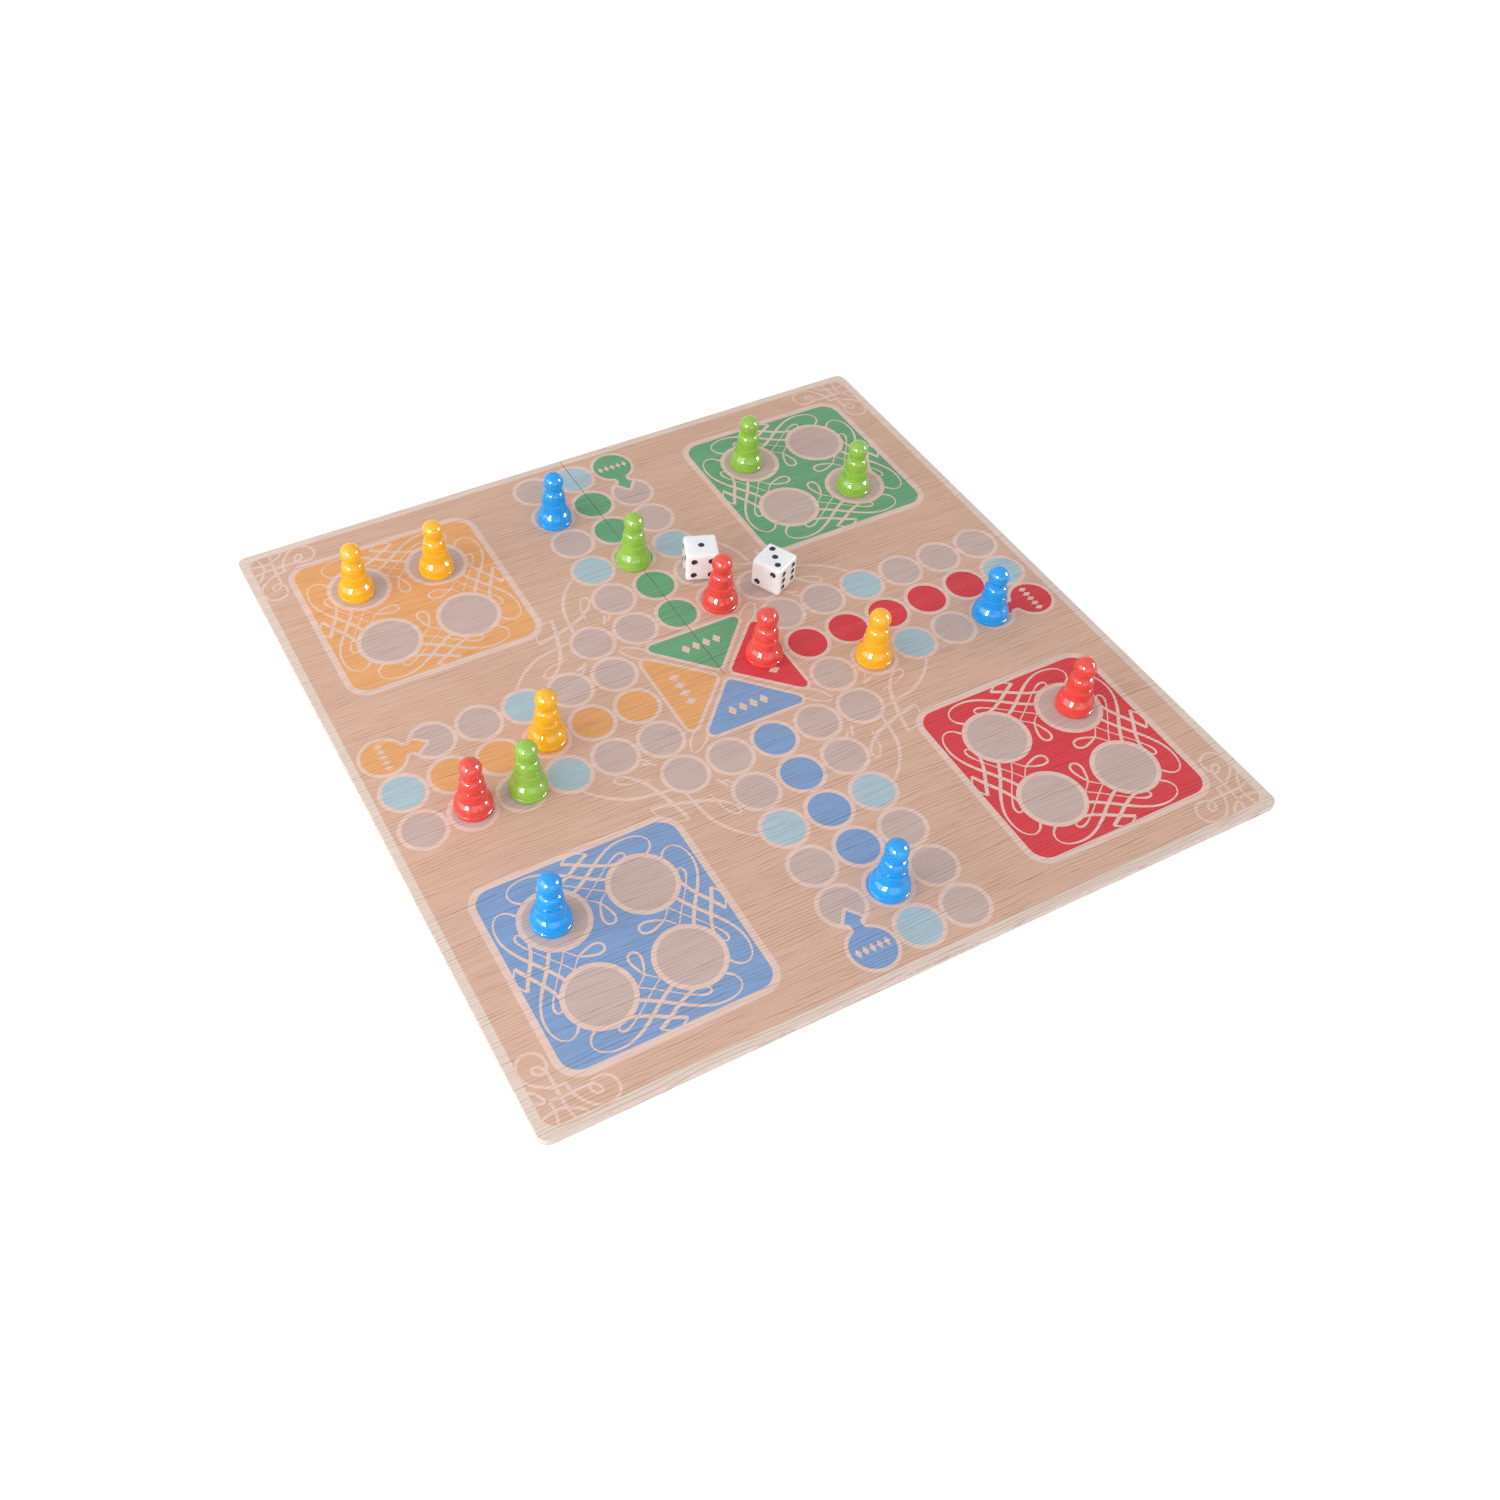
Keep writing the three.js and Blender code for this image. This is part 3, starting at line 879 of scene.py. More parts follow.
def draw_badge(tree, inside):
    loop = shape_node(tree, "MeshToCurve", {"Mesh": inside["Loop"]})
    fillet = {"Count": FILLET_STEPS, "Radius": inside["Corner Radius"], "Limit Radius": True}
    rounded = shape_node(tree, "FilletCurve", {"Curve": loop, **fillet}, mode="POLY")
    filled = shape_node(tree, "FillCurve", {"Curve": rounded}, mode="NGONS")
    band = film(tree, flat_ribbon(tree, rounded, inside["Line Width"]), inside)
    rise = combined(tree, Z=inside["Line Rise"])
    line = shape_node(tree, "Transform", {"Geometry": band, "Translation": rise})
    field = inked(tree, film(tree, filled, inside), inside["Field Ink"])
    line = inked(tree, line, inside["Line Ink"])
    return shape_node(tree, "RealizeInstances", {"Geometry": joined(tree, field, line)})


sizes = dict.fromkeys(("Corner Radius", "Line Width", "Line Rise"), NUMBER)
inks = {"Field Ink": MATERIAL, "Line Ink": MATERIAL}
BADGE = geometry_tree("printed_badge", {"Loop": GEOMETRY, **sizes, **inks, **FILM_ENDS}, draw_badge)


def badge(places, corner, line_width, top, ink_name):
    """A field of ink with a cream line round it, from corners given in cells."""
    count = len(places)
    loop = start_mesh(in_cells(places), [(i, (i + 1) % count) for i in range(count)])
    values = {"Corner Radius": corner * CELL, "Line Width": line_width * CELL, "Line Rise": INK_STEP}
    inks = {"Field Ink": INKS[ink_name], "Line Ink": INKS["line"]}
    return printed_film(BADGE, loop, top, {**values, **inks})


# %% [markdown]
# ## Pen strokes
# The yards, the corner cells and the board's corners carry penwork: looped strokes that swell on
# the way down and thin out where the pen turns. A stroke is a few points, each with the width of
# the pen there, smoothed into a line. The tree turns the lines into bands, adds their mirror image
# and sets the pair down as often as the ornament repeats round its centre. Strokes cross, so each
# one climbs by two microns along its way and the next begins where it ends: no two lie at one
# height.

# %% Build the penwork tree
STROKE_RISE = 0.002 * MM


def draw_penwork(tree, inside):
    swell = shape_node(tree, "InputNamedAttribute", {"Name": "width"}, data_type="FLOAT")
    lines = shape_node(tree, "MeshToCurve", {"Mesh": inside["Strokes"]})
    strokes = film(tree, flat_ribbon(tree, lines, inside["Pen Width"], swell), inside)
    mirror = {"Geometry": strokes, "Scale": (-1, 1, 1), "Translation": (0, 0, STROKE_RISE / 2)}
    mirrored = shape_node(tree, "FlipFaces", {"Mesh": shape_node(tree, "Transform", mirror)})
    places = shape_node(tree, "Points", {"Count": inside["Copies"], "Position": inside["Centre"]})
    index = shape_node(tree, "InputIndex")
    turn = maths(tree, "MULTIPLY_ADD", index, RIGHT_ANGLE, inside["First Turn"])
    pair = joined(tree, strokes, mirrored)
    real = on_points(tree, places, pair, Rotation=combined(tree, Z=turn))
    return inked(tree, real, inside["Ink"])


sizes = {"Pen Width": NUMBER, "Copies": WHOLE, "First Turn": NUMBER, "Centre": VECTOR, **FILM_ENDS}
PENWORK = geometry_tree("penwork", {"Strokes": GEOMETRY, **sizes, "Ink": MATERIAL}, draw_penwork)

# %% Draw with the pen
PEN_WIDTH = 0.05 * CELL
STROKE_STEPS = 5


def smoothed(points):
    """Points along a smooth line through the given ones."""
    ends = [points[0], *points, points[-1]]
    line = []
    for before, start, stop, after in zip(ends, ends[1:], ends[2:], ends[3:]):
        lead, tail = (stop - before) / 6, (after - start) / 6
        line += interpolate_bezier(start, start + lead, stop - tail, stop, STROKE_STEPS)[:-1]
    return [*line, points[-1]]


def penwork(strokes, centre, copies, first_turn, top):
    """Strokes through places in cells, each with the pen's width there as its third number."""
    verts, edges, widths = [], [], []
    for number, places in enumerate(strokes, 1):
        line = smoothed([Vector((x * CELL, y * CELL, width)) for x, y, width in places])
        first, last = len(verts), len(line) - 1
        edges += [(first + i, first + i + 1) for i in range(last)]
        verts += [(point.x, point.y, (number + i / last) * STROKE_RISE) for i, point in enumerate(line)]
        widths += [point.z for point in line]
    values = {"Pen Width": PEN_WIDTH, "Copies": copies, "First Turn": first_turn, "Ink": INKS["line"]}
    values["Centre"] = (centre * CELL, centre * CELL, 0.0)
    return printed_film(PENWORK, start_mesh(verts, edges, width=widths), top, values)


# %% [markdown]
# ## The yards
# Each colour's yard is a rounded field with a cream frame, four circles where the pawns wait, and
# the same knot of penwork on each of its four sides. The strokes are given for the right half of
# one side, counted in cells from the yard's centre, with the second number growing outwards.

# %% Print the yards
YARD_CENTRE = 4.83
YARD_HALF = 2.10
YARD_CORNER = 0.43
YARD_FRAME = 0.14
CIRCLE_OFFSET = 0.885
CIRCLE_RADIUS, CIRCLE_RING = 0.592, 0.69
YARD_STROKES = [
    [(1.264, 1.463, 1.08), (1.385, 1.569, 0.84), (1.43, 1.72, 0.6), (1.355, 1.857, 0.6),
     (1.188, 1.939, 0.72), (0.945, 1.957, 0.9), (0.703, 1.902, 1.02), (0.461, 1.781, 1.2),
     (0.279, 1.66, 1.38), (0.006, 1.463, 1.38), (-0.236, 1.312, 1.38), (-0.342, 1.266, 1.2)],
    [(-0.242, 1.018, 0.5), (0.0, 1.18, 0.5), (0.212, 1.342, 0.5), (0.455, 1.524, 0.5),
     (0.621, 1.63, 0.72), (0.758, 1.69, 0.96), (0.864, 1.675, 0.84), (0.879, 1.599, 0.72),
     (0.788, 1.53, 0.84), (0.636, 1.508, 1.08), (0.455, 1.554, 1.32), (0.212, 1.675, 1.44),
     (0.0, 1.805, 1.44), (-0.264, 1.948, 1.44)],
    [(-0.264, 1.948, 0.84), (-0.17, 2.005, 0.72), (-0.076, 2.06, 0.72)],
    [(0.0, 0.345, 0.96), (0.085, 0.39, 0.96), (0.115, 0.51, 0.96), (0.075, 0.67, 0.96),
     (0.0, 0.84, 0.72), (-0.10, 0.94, 0.5), (-0.215, 1.03, 0.5)],
]


def yard_square(half):
    return [(YARD_CENTRE + x * half, YARD_CENTRE + y * half) for x, y in CORNERS]


circles = dict.fromkeys(yard_square(CIRCLE_OFFSET), PLAIN)
for side in QUARTERS:
    field = badge(yard_square(YARD_HALF), YARD_CORNER, YARD_FRAME, FILM_TOPS[0], side)
    strokes = penwork(YARD_STROKES, YARD_CENTRE, 4, 0.0, FILM_TOPS[1])
    rounds = cell_films(side, circles, CIRCLE_RADIUS, CIRCLE_RING, FILM_TOPS[2])
    press(f"yard_{side}", side, [field, strokes, rounds])

# %% [markdown]
# ## Home and start
# Four triangles meet round the middle of the board, one for each colour, and each colour has a
# round start mark with an arrow at the outer end of its column. A row of cream lozenges marks
# each of them. A lozenge is a circle of four points, so its tree is short.

# %% Build the lozenge tree
def draw_lozenges(tree, inside):
    unit = shape_node(tree, "MeshCircle", {"Vertices": 4, "Radius": 0.5}, fill_type="NGON")
    size = combined(tree, X=inside["Width"], Y=inside["Height"], Z=1.0)
    sized = shape_node(tree, "Transform", {"Geometry": unit, "Scale": size})
    real = on_points(tree, inside["Points"], film(tree, sized, inside))
    return inked(tree, real, inside["Ink"])


sizes = {"Width": NUMBER, "Height": NUMBER, **FILM_ENDS}
LOZENGES = geometry_tree("lozenge_row", {"Points": GEOMETRY, **sizes, "Ink": MATERIAL}, draw_lozenges)


def lozenges(places, size):
    values = {"Width": size[0] * CELL, "Height": size[1] * CELL, "Ink": INKS["line"]}
    return printed_film(LOZENGES, start_mesh(in_cells(places)), FILM_TOPS[2], values)


# %% Print home and start
HOME_APEX, HOME_BASE, HOME_HALF_WIDTH = 0.0955, 1.43, 1.30
HOME_TRIANGLE = [(0.0, HOME_APEX), (HOME_HALF_WIDTH, HOME_BASE), (-HOME_HALF_WIDTH, HOME_BASE)]
HOME_CORNER = 0.15
HOME_ROW = [(x, 0.97) for x in (-0.36, -0.12, 0.12, 0.36)]
HOME_LOZENGE = (0.19, 0.26)
THIN_LINE = 0.073
START_CELL = (1.0, 7.02)
START_RADIUS = 0.4765
STEM_HALF, STEM_END = 0.1445, 6.42
ARROW_HALF, ARROW_TIP = 0.27, 6.07
START_CORNER = 0.04
START_STEPS = 28
START_ROW = [(1.0 + step * 0.15, 7.01) for step in range(-2, 3)]
START_LOZENGE = (0.12, 0.20)


def start_mark():
    """The outline of the round mark and its arrow, which points in along the column."""
    x, y = START_CELL
    opening = math.asin(STEM_HALF / START_RADIUS)
    outline = []
    for step in range(START_STEPS + 1):
        angle = opening - RIGHT_ANGLE + step / START_STEPS * (2 * math.pi - 2 * opening)
        outline.append((x + START_RADIUS * math.cos(angle), y + START_RADIUS * math.sin(angle)))
    outline += [(x - STEM_HALF, STEM_END), (x - ARROW_HALF, STEM_END), (x, ARROW_TIP)]
    return [*outline, (x + ARROW_HALF, STEM_END), (x + STEM_HALF, STEM_END)]


# The neighbour's triangle lies along X, so its pairs of numbers are read backwards.
for side in QUARTERS:
    parts = []
    for name, way in ((side, 1), (neighbour(side), -1)):
        triangle, row = ([pair[::way] for pair in pairs] for pairs in (HOME_TRIANGLE, HOME_ROW))
        parts.append(badge(triangle, HOME_CORNER, THIN_LINE, FILM_TOPS[0], name))
        parts.append(lozenges(row, HOME_LOZENGE[::way]))
    parts.append(badge(start_mark(), START_CORNER, THIN_LINE, FILM_TOPS[1], side))
    parts.append(lozenges(START_ROW, START_LOZENGE))
    press(f"home_and_start_{side}", side, parts)

# %% [markdown]
# ## The scrolls on the oak
# Beside each corner cell of the track lies a larger scroll, and each corner of the board has a
# pair of curls. Both are mirrored about the quarter's diagonal. So their strokes, given in cells
# from the middle of the board, are first turned by an eighth of a circle, and the tree turns the
# mirrored pair back.

# %% Print the scrolls
CENTRE_STROKES = [
    [(3.955, 1.503, 1.12), (3.783, 1.71, 1.2), (3.541, 1.917, 1.36), (3.231, 2.09, 1.52),
     (2.955, 2.159, 1.44), (2.714, 2.193, 1.28), (2.438, 2.228, 1.12)],
    [(2.662, 1.831, 0.7), (2.852, 1.79, 0.7), (3.059, 1.762, 0.8), (3.231, 1.676, 0.96),
     (3.317, 1.572, 0.96), (3.266, 1.503, 0.96), (3.128, 1.514, 0.96), (2.99, 1.624, 1.28),
     (2.817, 1.848, 1.76), (2.714, 2.072, 1.76), (2.628, 2.348, 1.76), (2.559, 2.59, 1.76),
     (2.507, 2.831, 1.76), (2.479, 3.01, 1.6)],
    [(2.479, 3.01, 0.72), (2.63, 2.99, 0.72), (2.783, 2.934, 0.72)],
    [(2.61, 1.28, 0.96), (2.54, 1.345, 0.96), (2.472, 1.417, 0.96)],
    [(2.645, 1.417, 1.28), (2.51, 1.47, 1.28), (2.386, 1.538, 1.28)],
    [(1.61, 1.57, 0.96), (1.58, 1.45, 0.96), (1.507, 1.314, 0.96), (1.41, 1.20, 0.96),
     (1.30, 1.107, 0.96)],
]
CORNER_STROKES = [
    [(6.92, 6.95, 1.12), (7.13, 6.93, 1.35), (7.26, 6.88, 1.2), (7.44, 6.76, 1.12), (7.56, 6.61, 1.12),
     (7.59, 6.44, 1.12), (7.53, 6.26, 1.12), (7.40, 6.17, 1.12), (7.24, 6.18, 1.12), (7.11, 6.28, 1.12),
     (7.08, 6.42, 1.12), (7.11, 6.56, 1.12), (7.21, 6.634, 1.12), (7.32, 6.59, 1.12), (7.356, 6.50, 1.12),
     (7.30, 6.456, 1.05), (7.21, 6.49, 1.05), (7.15, 6.59, 1.12), (7.13, 6.76, 1.12), (7.13, 6.94, 1.35),
     (7.13, 7.18, 1.2), (7.11, 7.42, 1.12), (7.07, 7.61, 1.05)],
    [(7.59, 6.83, 1.05), (7.47, 6.92, 1.12), (7.38, 7.10, 1.12), (7.32, 7.22, 1.12), (7.34, 7.44, 1.12),
     (7.38, 7.60, 1.05)],
]


def on_diagonal(strokes):
    half = math.sqrt(0.5)
    return [[((x - y) * half, (x + y) * half, width) for x, y, width in places] for places in strokes]


scrolls = on_diagonal(CENTRE_STROKES + CORNER_STROKES)
for side in QUARTERS:
    press(f"scrolls_{side}", side, [penwork(scrolls, 0.0, 1, -RIGHT_ANGLE / 2, FILM_TOPS[0])])

# %% [markdown]
# ## Moulded plastic
# Pawns and dice are injection moulded: a clear even colour with a bright skin. What keeps it from
# looking drawn is small: the colour drifts slightly through the wall, and handling leaves faint
# rubbed patches in the gloss. A shader group gives all of the plastics those marks.

# %% The moulding group and the pawns' plastics
DEEPER = (0.93, 0.93, 0.94, 1)
MOULD_RELIEF = (0.10, 0.02 * MM)
PAWN_COLOURS = {"yellow": "#ffb81a", "green": "#95c547", "red": "#ec4a42", "blue": "#00a0f2"}
PAWN_SKIN = {"gloss": 0.07, "rub": 0.04, "depth": 0.35, "shine": 0.6}
mould_group, mould_in, mould_out = group_of(
    "moulded_skin",
    "ShaderNodeTree",
    {"Tone": COLOUR, "Gloss": NUMBER, "Rub": NUMBER},
    {"Color": COLOUR, "Roughness": NUMBER, "Height": NUMBER},
)
m = mould_group
where = object_place(m)
drift, patches, ripple = (noise(m, where, *grain) for grain in ((90.0, 2.0), (260.0, 5.0), (700.0, 1.0)))
deeper = blended(m, 1.0, mould_in["Tone"], DEEPER, "MULTIPLY")
skin = blended(m, remap(m, drift, 0.35, 0.65), mould_in["Tone"], deeper)
rubbed = maths(m, "MULTIPLY", remap(m, patches, 0.50, 0.70), mould_in["Rub"])
rough = maths(m, "ADD", mould_in["Gloss"], rubbed)
fill(m, mould_out, {"Color": skin, "Roughness": rough, "Height": ripple})


def plastic(name, code, gloss, rub, depth, shine=0.5, reach=(1.5, 0.9, 0.6)):
    """A moulded plastic, into which light goes so deep, by so many millimetres of each colour."""
    constants = {"Specular IOR Level": shine, "Subsurface Weight": depth}
    constants.update({"Subsurface Radius": reach, "Subsurface Scale": MM})
    made, tree, shader = finish_shell(name, constants)
    skin = use_group(tree, mould_group, {"Tone": colour(code), "Gloss": gloss, "Rub": rub})
    relief = bump(tree, skin["Height"], *MOULD_RELIEF)
    fill(tree, shader, {"Base Color": skin["Color"], "Roughness": skin["Roughness"], "Normal": relief})
    return made


PLASTICS = {side: plastic(f"plastic_{side}", code, **PAWN_SKIN) for side, code in PAWN_COLOURS.items()}
print("plastics:", sorted(PLASTICS))

# %% [markdown]
# ## The pawns
# A pawn is a turned shape of four tiers: a round foot under a low dome, a skirt that flares to a
# sharp lip, a rounded bead and a round head, all of it hollow from below. A profile drawn once and
# swept round a vanishingly small circle makes it inside and out. The tree takes the profile as a
# line of edges and has an input for the place, so that each of the sixteen bodies gets a mesh of
# its own.

# %% The pawn's sizes in millimetres
FOOT_RADIUS, FOOT_CHAMFER, FOOT_HEIGHT, FOOT_GROOVE = 7.95, 0.5, 1.7, 0.25
DOME_HEIGHT, SKIRT_HEIGHT, WAIST_HEIGHT, COLLAR_HEIGHT = 5.1, 4.0, 1.35, 7.1
BEAD_HEIGHT = 5.6
SKIRT_RADIUS, SKIRT_TUCK, SHOULDER_RADIUS, WAIST_RADIUS = 5.95, 0.10, 5.6, 4.85
COLLAR_RADIUS, NECK_RADIUS, HEAD_RADIUS, PAWN_WALL = 4.9, 3.6, 4.6, 1.3
LEDGE_RISE = 0.35
NECK_GROOVE, NECK_RISE = 0.1, 0.2
FOOT_STEPS, DOME_STEPS, SKIRT_STEPS, BEAD_STEPS, NECK_STEPS, HEAD_STEPS = 4, 16, 10, 16, 5, 20
print("wall of", PAWN_WALL, "mm round a hollow")


# %% Draw the pawn's profile
def curve(steps, *points):
    """Points along a curve with two handles, leaving out its first."""
    line = interpolate_bezier(*(Vector((x, y)) for x, y in points), steps + 1)
    return [(p.x, p.y) for p in line[1:]]


def soft_curve(steps, start, handle, end):
    """Points along a curve with one handle, leaving out its first."""
    start, handle, end = (Vector(point) for point in (start, handle, end))
    return curve(steps, start, start.lerp(handle, 2 / 3), end.lerp(handle, 2 / 3), end)


def pawn_profile():
    """Radius and height in millimetres, from the top of the hollow out and up to the crown."""
    dome_foot = FOOT_HEIGHT + 2 * FOOT_GROOVE
    dome_top = dome_foot + DOME_HEIGHT
    shoulder = dome_top + SKIRT_HEIGHT
    waist = shoulder + WAIST_HEIGHT
    neck = waist + COLLAR_HEIGHT
    bead_top = waist + BEAD_HEIGHT
    dome_radius = FOOT_RADIUS - FOOT_GROOVE / 2
    dome_round = SKIRT_RADIUS + 0.45 * (dome_radius - SKIRT_RADIUS)
    foot = FOOT_RADIUS - FOOT_CHAMFER
    tuck = SHOULDER_RADIUS - SKIRT_TUCK
    hollow = [(NECK_RADIUS, neck - PAWN_WALL), (WAIST_RADIUS, waist), (tuck, shoulder - PAWN_WALL)]
    hollow += [(SKIRT_RADIUS, dome_top - PAWN_WALL), (dome_radius, dome_foot + 0.2 * DOME_HEIGHT)]
    hollow += [(foot, 0.0)]
    line = [(0, neck - PAWN_WALL), *((radius - PAWN_WALL, height) for radius, height in hollow)]
    line += [(foot, 0.0)]
    line += soft_curve(FOOT_STEPS, line[-1], (FOOT_RADIUS, 0.0), (FOOT_RADIUS, FOOT_CHAMFER))
    line += [(FOOT_RADIUS, FOOT_HEIGHT), (FOOT_RADIUS - FOOT_GROOVE, FOOT_HEIGHT + FOOT_GROOVE)]
    line += [(dome_radius, dome_foot)]
    handles = (dome_radius, dome_foot + 0.6 * DOME_HEIGHT), (dome_round, dome_foot + 0.76 * DOME_HEIGHT)
    line += curve(DOME_STEPS, line[-1], *handles, (SKIRT_RADIUS, dome_top))
    handle = (tuck, dome_top + 0.3 * SKIRT_HEIGHT)
    line += soft_curve(SKIRT_STEPS, line[-1], handle, (SHOULDER_RADIUS, shoulder))
    line += [(WAIST_RADIUS, shoulder + LEDGE_RISE), (WAIST_RADIUS, waist)]
    handles = [(out * COLLAR_RADIUS, waist + up * BEAD_HEIGHT) for out, up in ((1.09, 0.30), (1.05, 0.86))]
    line += curve(BEAD_STEPS, line[-1], *handles, (NECK_RADIUS, bead_top))
    handle = (NECK_RADIUS - NECK_GROOVE, bead_top + NECK_RISE)
    line += soft_curve(NECK_STEPS, line[-1], handle, (NECK_RADIUS, neck))
    middle = neck + math.sqrt(HEAD_RADIUS ** 2 - NECK_RADIUS ** 2)
    start = math.asin((neck - middle) / HEAD_RADIUS)
    for step in range(1, HEAD_STEPS + 1):
        angle = start + step / HEAD_STEPS * (RIGHT_ANGLE - start)
        line.append((HEAD_RADIUS * math.cos(angle), middle + HEAD_RADIUS * math.sin(angle)))
    line[-1] = (0.0, line[-1][1])
    return line


PROFILE = pawn_profile()
print("profile of", len(PROFILE), "points,", round(PROFILE[-1][1], 2), "mm high")

# %% Build the turning tree
TURN_STEPS = 60
AXIS_RADIUS = 1e-6
POLE_WELD = 0.01 * MM


def draw_pawn(tree, inside):
    circle = {"Resolution": inside["Sides"], "Radius": AXIS_RADIUS}
    circle = shape_node(tree, "CurvePrimitiveCircle", circle)
    circle = shape_node(tree, "SetCurveNormal", {"Curve": circle}, mode="Z_UP")
    line = shape_node(tree, "MeshToCurve", {"Mesh": inside["Profile"]})
    swept = shape_node(tree, "CurveToMesh", {"Curve": circle, "Profile Curve": line})
    welded = shape_node(tree, "MergeByDistance", {"Geometry": swept, "Distance": POLE_WELD})
    placed = shape_node(tree, "Transform", {"Geometry": welded, "Translation": inside["Place"]})
    real = shape_node(tree, "RealizeInstances", {"Geometry": placed})
    return inked(tree, real, inside["Finish"])


inputs = {"Profile": GEOMETRY, "Sides": WHOLE, "Place": VECTOR, "Finish": MATERIAL}
TURNED = geometry_tree("turned_pawn", inputs, draw_pawn)

# %% Stand the sixteen pawns on the board
PAWNS_EACH = 4
SHARP_LIP = 26


def outward(mesh):
    """The mesh with its faces turned outwards."""
    return mesh_from(*gathered([mesh]))


points = [(radius * MM, -height * MM, 0.0) for radius, height in PROFILE]
edges = [(i, i + 1) for i in range(len(points) - 1)]
for side in QUARTERS:
    for number in range(1, PAWNS_EACH + 1):
        low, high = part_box(f"pawn_{side}_{number}")
        place = ((low.x + high.x) / 2, (low.y + high.y) / 2, low.z)
        values = {"Sides": TURN_STEPS, "Place": place, "Finish": PLASTICS[side]}
        mesh = shade(outward(run_tree(TURNED, start_mesh(points, edges), values)), SHARP_LIP)
        name = f"{side}_pawn_{number}"
        piece(f"dressed_{name}", mesh, name, [f"pawn_{side}_{number}"])

# %% [markdown]
# ## The dice
# A die follows a rule too: every point of a cube's skin is drawn in to a smaller cube and pushed
# out again by the rounding radius, which rounds all edges and corners alike. Balls set into the
# faces, one for each pip, are then cut out of it, and the dishes that they leave keep the balls'
# black paint.

# %% Build the die tree
DIE_GRID = 29
BALL_STEPS = {"Segments": 24, "Rings": 14}


def draw_die(tree, inside):
    counts = {f"Vertices {axis}": DIE_GRID for axis in "XYZ"}
    cube = shape_node(tree, "MeshCube", {"Size": inside["Edge"], **counts})
    reach = maths(tree, "SUBTRACT", maths(tree, "MULTIPLY", inside["Edge"], 0.5), inside["Rounding"])
    point = shape_node(tree, "InputPosition")
    held = vectors(tree, "MINIMUM", point, reach)
    held = vectors(tree, "MAXIMUM", held, maths(tree, "MULTIPLY", reach, -1.0))
    push = vectors(tree, "NORMALIZE", vectors(tree, "SUBTRACT", point, held))
    skin_at = vectors(tree, "MULTIPLY_ADD", push, inside["Rounding"], held)
    cube = shape_node(tree, "SetPosition", {"Geometry": cube, "Position": skin_at})
    ball = shape_node(tree, "MeshUVSphere", {**BALL_STEPS, "Radius": inside["Ball Radius"]})
    balls = inked(tree, on_points(tree, inside["Pips"], ball), inside["Paint"])
    cut = {"Mesh 1": inked(tree, cube, inside["Skin"]), "Mesh 2": balls}
    cut = shape_node(tree, "MeshBoolean", cut, operation="DIFFERENCE", solver="EXACT")
    placed = {"Geometry": cut, "Translation": inside["Place"], "Rotation": combined(tree, Z=inside["Turn"])}
    return shape_node(tree, "Transform", placed)


sizes = dict.fromkeys(("Edge", "Rounding", "Ball Radius", "Turn"), NUMBER)
finishes = {"Skin": MATERIAL, "Paint": MATERIAL}
DIE = geometry_tree("pipped_die", {"Pips": GEOMETRY, **sizes, "Place": VECTOR, **finishes}, draw_die)

# %% The dice's sizes and faces
DIE_EDGE, DIE_ROUND = 14.7 * MM, 1.5 * MM
PIP_RADIUS, PIP_DEPTH, PIP_SPACING = 1.45 * MM, 0.6 * MM, 3.8 * MM
PIP_BALL = (PIP_RADIUS ** 2 + PIP_DEPTH ** 2) / (2 * PIP_DEPTH)
PIP_PLACES = {
    1: [(0, 0)],
    2: [(-1, -1), (1, 1)],
    3: [(-1, -1), (0, 0), (1, 1)],
    4: [(-1, -1), (-1, 1), (1, -1), (1, 1)],
    5: [(-1, -1), (-1, 1), (0, 0), (1, -1), (1, 1)],
    6: [(-1, -1), (-1, 0), (-1, 1), (1, -1), (1, 0), (1, 1)],
}
ON_END = Matrix.Rotation(RIGHT_ANGLE, 3, "X")
FACE_TURNS = {
    "top": Matrix.Identity(3),
    "bottom": Matrix.Rotation(2 * RIGHT_ANGLE, 3, "X"),
    "front": ON_END,
    "back": Matrix.Rotation(-RIGHT_ANGLE, 3, "X"),
    "right": ON_END @ Matrix.Rotation(RIGHT_ANGLE, 3, "Y"),
    "left": ON_END @ Matrix.Rotation(-RIGHT_ANGLE, 3, "Y"),
}
DICE = {
    "die_left": (-21.4, {"top": 1, "bottom": 6, "front": 4, "back": 3, "right": 2, "left": 5}),
    "die_right": (26.8, {"top": 3, "bottom": 4, "front": 6, "back": 1, "right": 5, "left": 2}),
}
WHITE_PLASTIC = plastic("plastic_white", "#f8fafc", 0.20, 0.10, 0.8, reach=(3.0, 3.6, 3.8))
PIP_PAINT = plastic("pip_black", "#17171a", 0.30, 0.15, 0.0)
print("pips cut with balls of", round(PIP_BALL / MM, 2), "mm radius")

# %% Roll the two dice
SHARP_PIP = 25


def pip_centres(faces):
    """Where the balls lie that the pips are cut with."""
    centres = []
    for face, number in faces.items():
        for across, up in PIP_PLACES[number]:
            at = Vector((across * PIP_SPACING, up * PIP_SPACING, DIE_EDGE / 2 - PIP_DEPTH + PIP_BALL))
            centres.append(FACE_TURNS[face] @ at)
    return centres


for node_name, (turn, faces) in DICE.items():
    low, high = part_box(node_name)
    values = {"Edge": DIE_EDGE, "Rounding": DIE_ROUND, "Ball Radius": PIP_BALL, "Turn": math.radians(turn)}
    values.update({"Place": tuple((low + high) / 2), "Skin": WHITE_PLASTIC, "Paint": PIP_PAINT})
    mesh = shade(outward(run_tree(DIE, start_mesh(pip_centres(faces)), values)), SHARP_PIP)
    side = node_name.split("_")[1]
    piece(f"dressed_{side}_die", mesh, f"{side}_die", [node_name])

# %% [markdown]
# ## Board, liner and cloth
# The inside of a panel is greyboard, pulped from waste paper, so it is grey with short paler and
# darker fibres. The back is lined with off-white paper of the same kind but finer. Their solids
# already have the right shape, so they keep their meshes and only get finishes. Fibres are noise
# that is stretched different ways in different places, and both papers share the group.

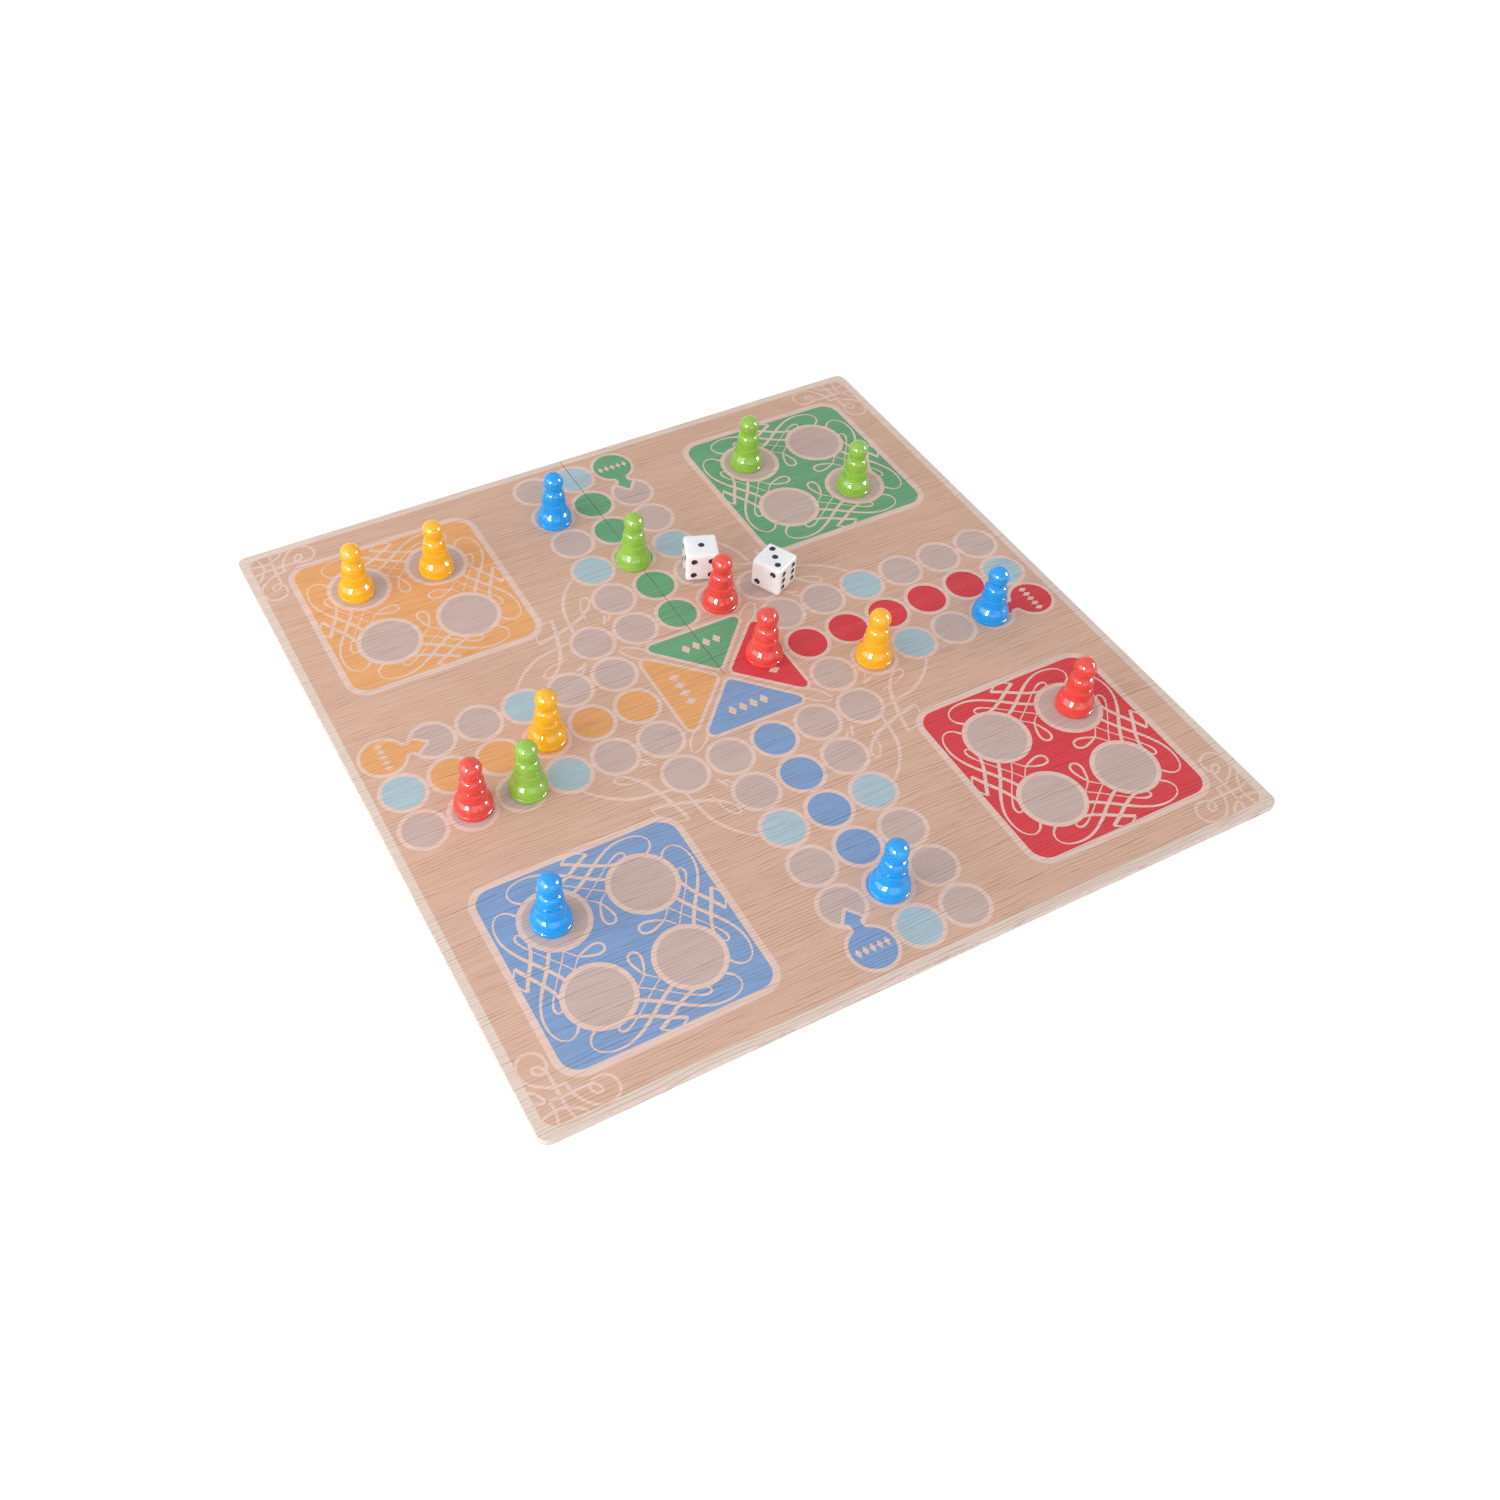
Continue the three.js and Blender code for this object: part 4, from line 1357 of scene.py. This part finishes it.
# %% The fibre group, greyboard and liner
FIBRE_ROUGHNESS = 0.06
PAPER_RELIEF = (0.35, 0.05 * MM)
fibre_group, fibre_in, fibre_out = group_of(
    "paper_fibres",
    "ShaderNodeTree",
    {"Tone": COLOUR, "Fleck": COLOUR, "Fineness": NUMBER},
    {"Color": COLOUR, "Height": NUMBER},
)
f = fibre_group
fine = vectors(f, "MULTIPLY", object_place(f), fibre_in["Fineness"])
fibres = noise(f, fine, 1400.0, 3.0, Distortion=1.2)
flecks = remap(f, fibres, 0.56, 0.66)
clouds = remap(f, noise(f, fine, 120.0, 3.0), 0.35, 0.65)
flecked = maths(f, "MULTIPLY_ADD", clouds, 0.25, maths(f, "MULTIPLY", flecks, 0.6), clamp=True)
fill(f, fibre_out, {"Color": blended(f, flecked, fibre_in["Tone"], fibre_in["Fleck"]), "Height": fibres})


def paper(name, tone, fleck, fineness, rough):
    made, tree, shader = finish_shell(name, {})
    inputs = {"Tone": colour(tone), "Fleck": colour(fleck), "Fineness": fineness}
    fibres = use_group(tree, fibre_group, inputs)
    drift = remap(tree, fibres["Height"], 0.3, 0.7, rough - FIBRE_ROUGHNESS, rough + FIBRE_ROUGHNESS)
    relief = bump(tree, fibres["Height"], *PAPER_RELIEF)
    fill(tree, shader, {"Base Color": fibres["Color"], "Roughness": drift, "Normal": relief})
    return made


GREYBOARD = paper("greyboard", "#9c958a", "#b9b3a8", 1.0, 0.88)
LINER = paper("back_liner", "#dcd6cc", "#cbc3b6", 1.6, 0.66)
for side in QUARTERS:
    for node_name, finish in ((f"panel_core_{side}", GREYBOARD), (f"back_liner_{side}", LINER)):
        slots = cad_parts[node_name].data.materials
        slots.clear()
        slots.append(finish)
print("cores and liners dressed:", 2 * len(QUARTERS))

# %% [markdown]
# ## The hinge tapes
# Three strips of book cloth hold the panels together on the back. Cloth bends at the crease, so
# each strip is a fine grid there, thickened to a closed sheet. Its weave follows the cloth and not
# the room, so it reads a UV map that is measured in metres along the strip.

# %% The cloth
THREADS_PER_METRE = 2400.0
SLUBS_PER_METRE = 500.0
CLOTH_RELIEF = (0.5, 0.08 * MM)
cloth, tree, shader = finish_shell("hinge_cloth", {})
strip = add(tree, "ShaderNodeUVMap", uv_map="cloth").outputs[0]
waves = []
for axis in "XY":
    phase = maths(tree, "MULTIPLY", parted(tree, strip)[axis], THREADS_PER_METRE * 2 * math.pi)
    waves.append(maths(tree, "MULTIPLY_ADD", maths(tree, "SINE", phase), 0.5, 0.5))
weave = maths(tree, "MULTIPLY", *waves)
slub = noise(tree, strip, SLUBS_PER_METRE, 4.0)
threads = maths(tree, "MULTIPLY_ADD", slub, 0.5, maths(tree, "MULTIPLY", weave, 0.5))
dyed = blended(tree, threads, colour("#b3aa9d"), colour("#d8d0c4"))
rough = remap(tree, threads, 0.0, 1.0, 0.9, 0.72)
fill(tree, shader, {"Base Color": dyed, "Roughness": rough, "Normal": bump(tree, weave, *CLOTH_RELIEF)})
print("cloth has", len(tree.nodes), "nodes")

# %% A strip of cloth
BEND_HALF = 0.6 * MM
BEND_STEPS, SIDE_STEPS, LONG_STEPS = 12, 4, 24
X_AXIS, Y_AXIS = 0, 1


def steps_between(low, high, count):
    return [low + (high - low) * i / count for i in range(count + 1)]


def tape_mesh(low, high, axis):
    """A closed strip of cloth, finely divided where it bends."""
    rows = steps_between(low[axis], -BEND_HALF, SIDE_STEPS)[:-1]
    rows += steps_between(-BEND_HALF, BEND_HALF, BEND_STEPS)
    rows += steps_between(BEND_HALF, high[axis], SIDE_STEPS)[1:]
    columns = steps_between(low[1 - axis], high[1 - axis], LONG_STEPS)
    shape = bmesh.new()
    for z in (low.z, high.z):
        layer = []
        for b in rows:
            places = [(a, b, z) if axis == Y_AXIS else (b, a, z) for a in columns]
            layer.append([shape.verts.new(place) for place in places])
        for near, far in zip(layer, layer[1:]):
            for j in range(LONG_STEPS):
                shape.faces.new((near[j], near[j + 1], far[j + 1], far[j]))
    bmesh.ops.bridge_loops(shape, edges=[edge for edge in shape.edges if edge.is_boundary])
    uv = shape.loops.layers.uv.new("cloth")
    for face in shape.faces:
        for loop in face.loops:
            loop[uv].uv = loop.vert.co.xy
    return mesh_from(shape, [cloth])


# %% Lay the three tapes
# The two panels that a tape joins, and the axis across it.
TAPES = {
    "red": ("red_quarter", "green_quarter", Y_AXIS),
    "yellow": ("blue_quarter", "yellow_quarter", Y_AXIS),
    "blue": ("red_quarter", "blue_quarter", X_AXIS),
}
for side, (first, second, axis) in TAPES.items():
    low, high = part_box(f"hinge_tape_{side}")
    mesh = tape_mesh(low, high, axis)
    mesh.name = f"cloth_tape_{side}"
    made = new_object(mesh.name, mesh)
    cores = [f"panel_core_{body.split('_')[0]}" for body in (first, second)]
    for core in cores:
        at = (low + high) / 2
        at[axis] = math.copysign(BEND_HALF, sum(corner[axis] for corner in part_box(core)))
    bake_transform(made)
    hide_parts(f"hinge_tape_{side}")
    print(made.name, len(mesh.polygons), "faces")

# %% [markdown]
# ## The size of the dressed pieces
# Dressing must not change the object's size. The box of the dressed pieces is printed, to be set
# beside the box of the solids that is printed at the start.

# %% Print the dressed box
low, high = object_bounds()
sizes = {"cad": [list(cad_low), list(cad_high)], "visual": [list(low), list(high)]}
print("dressed box in mm:", [round(v / MM, 2) for v in (*low, *high)])
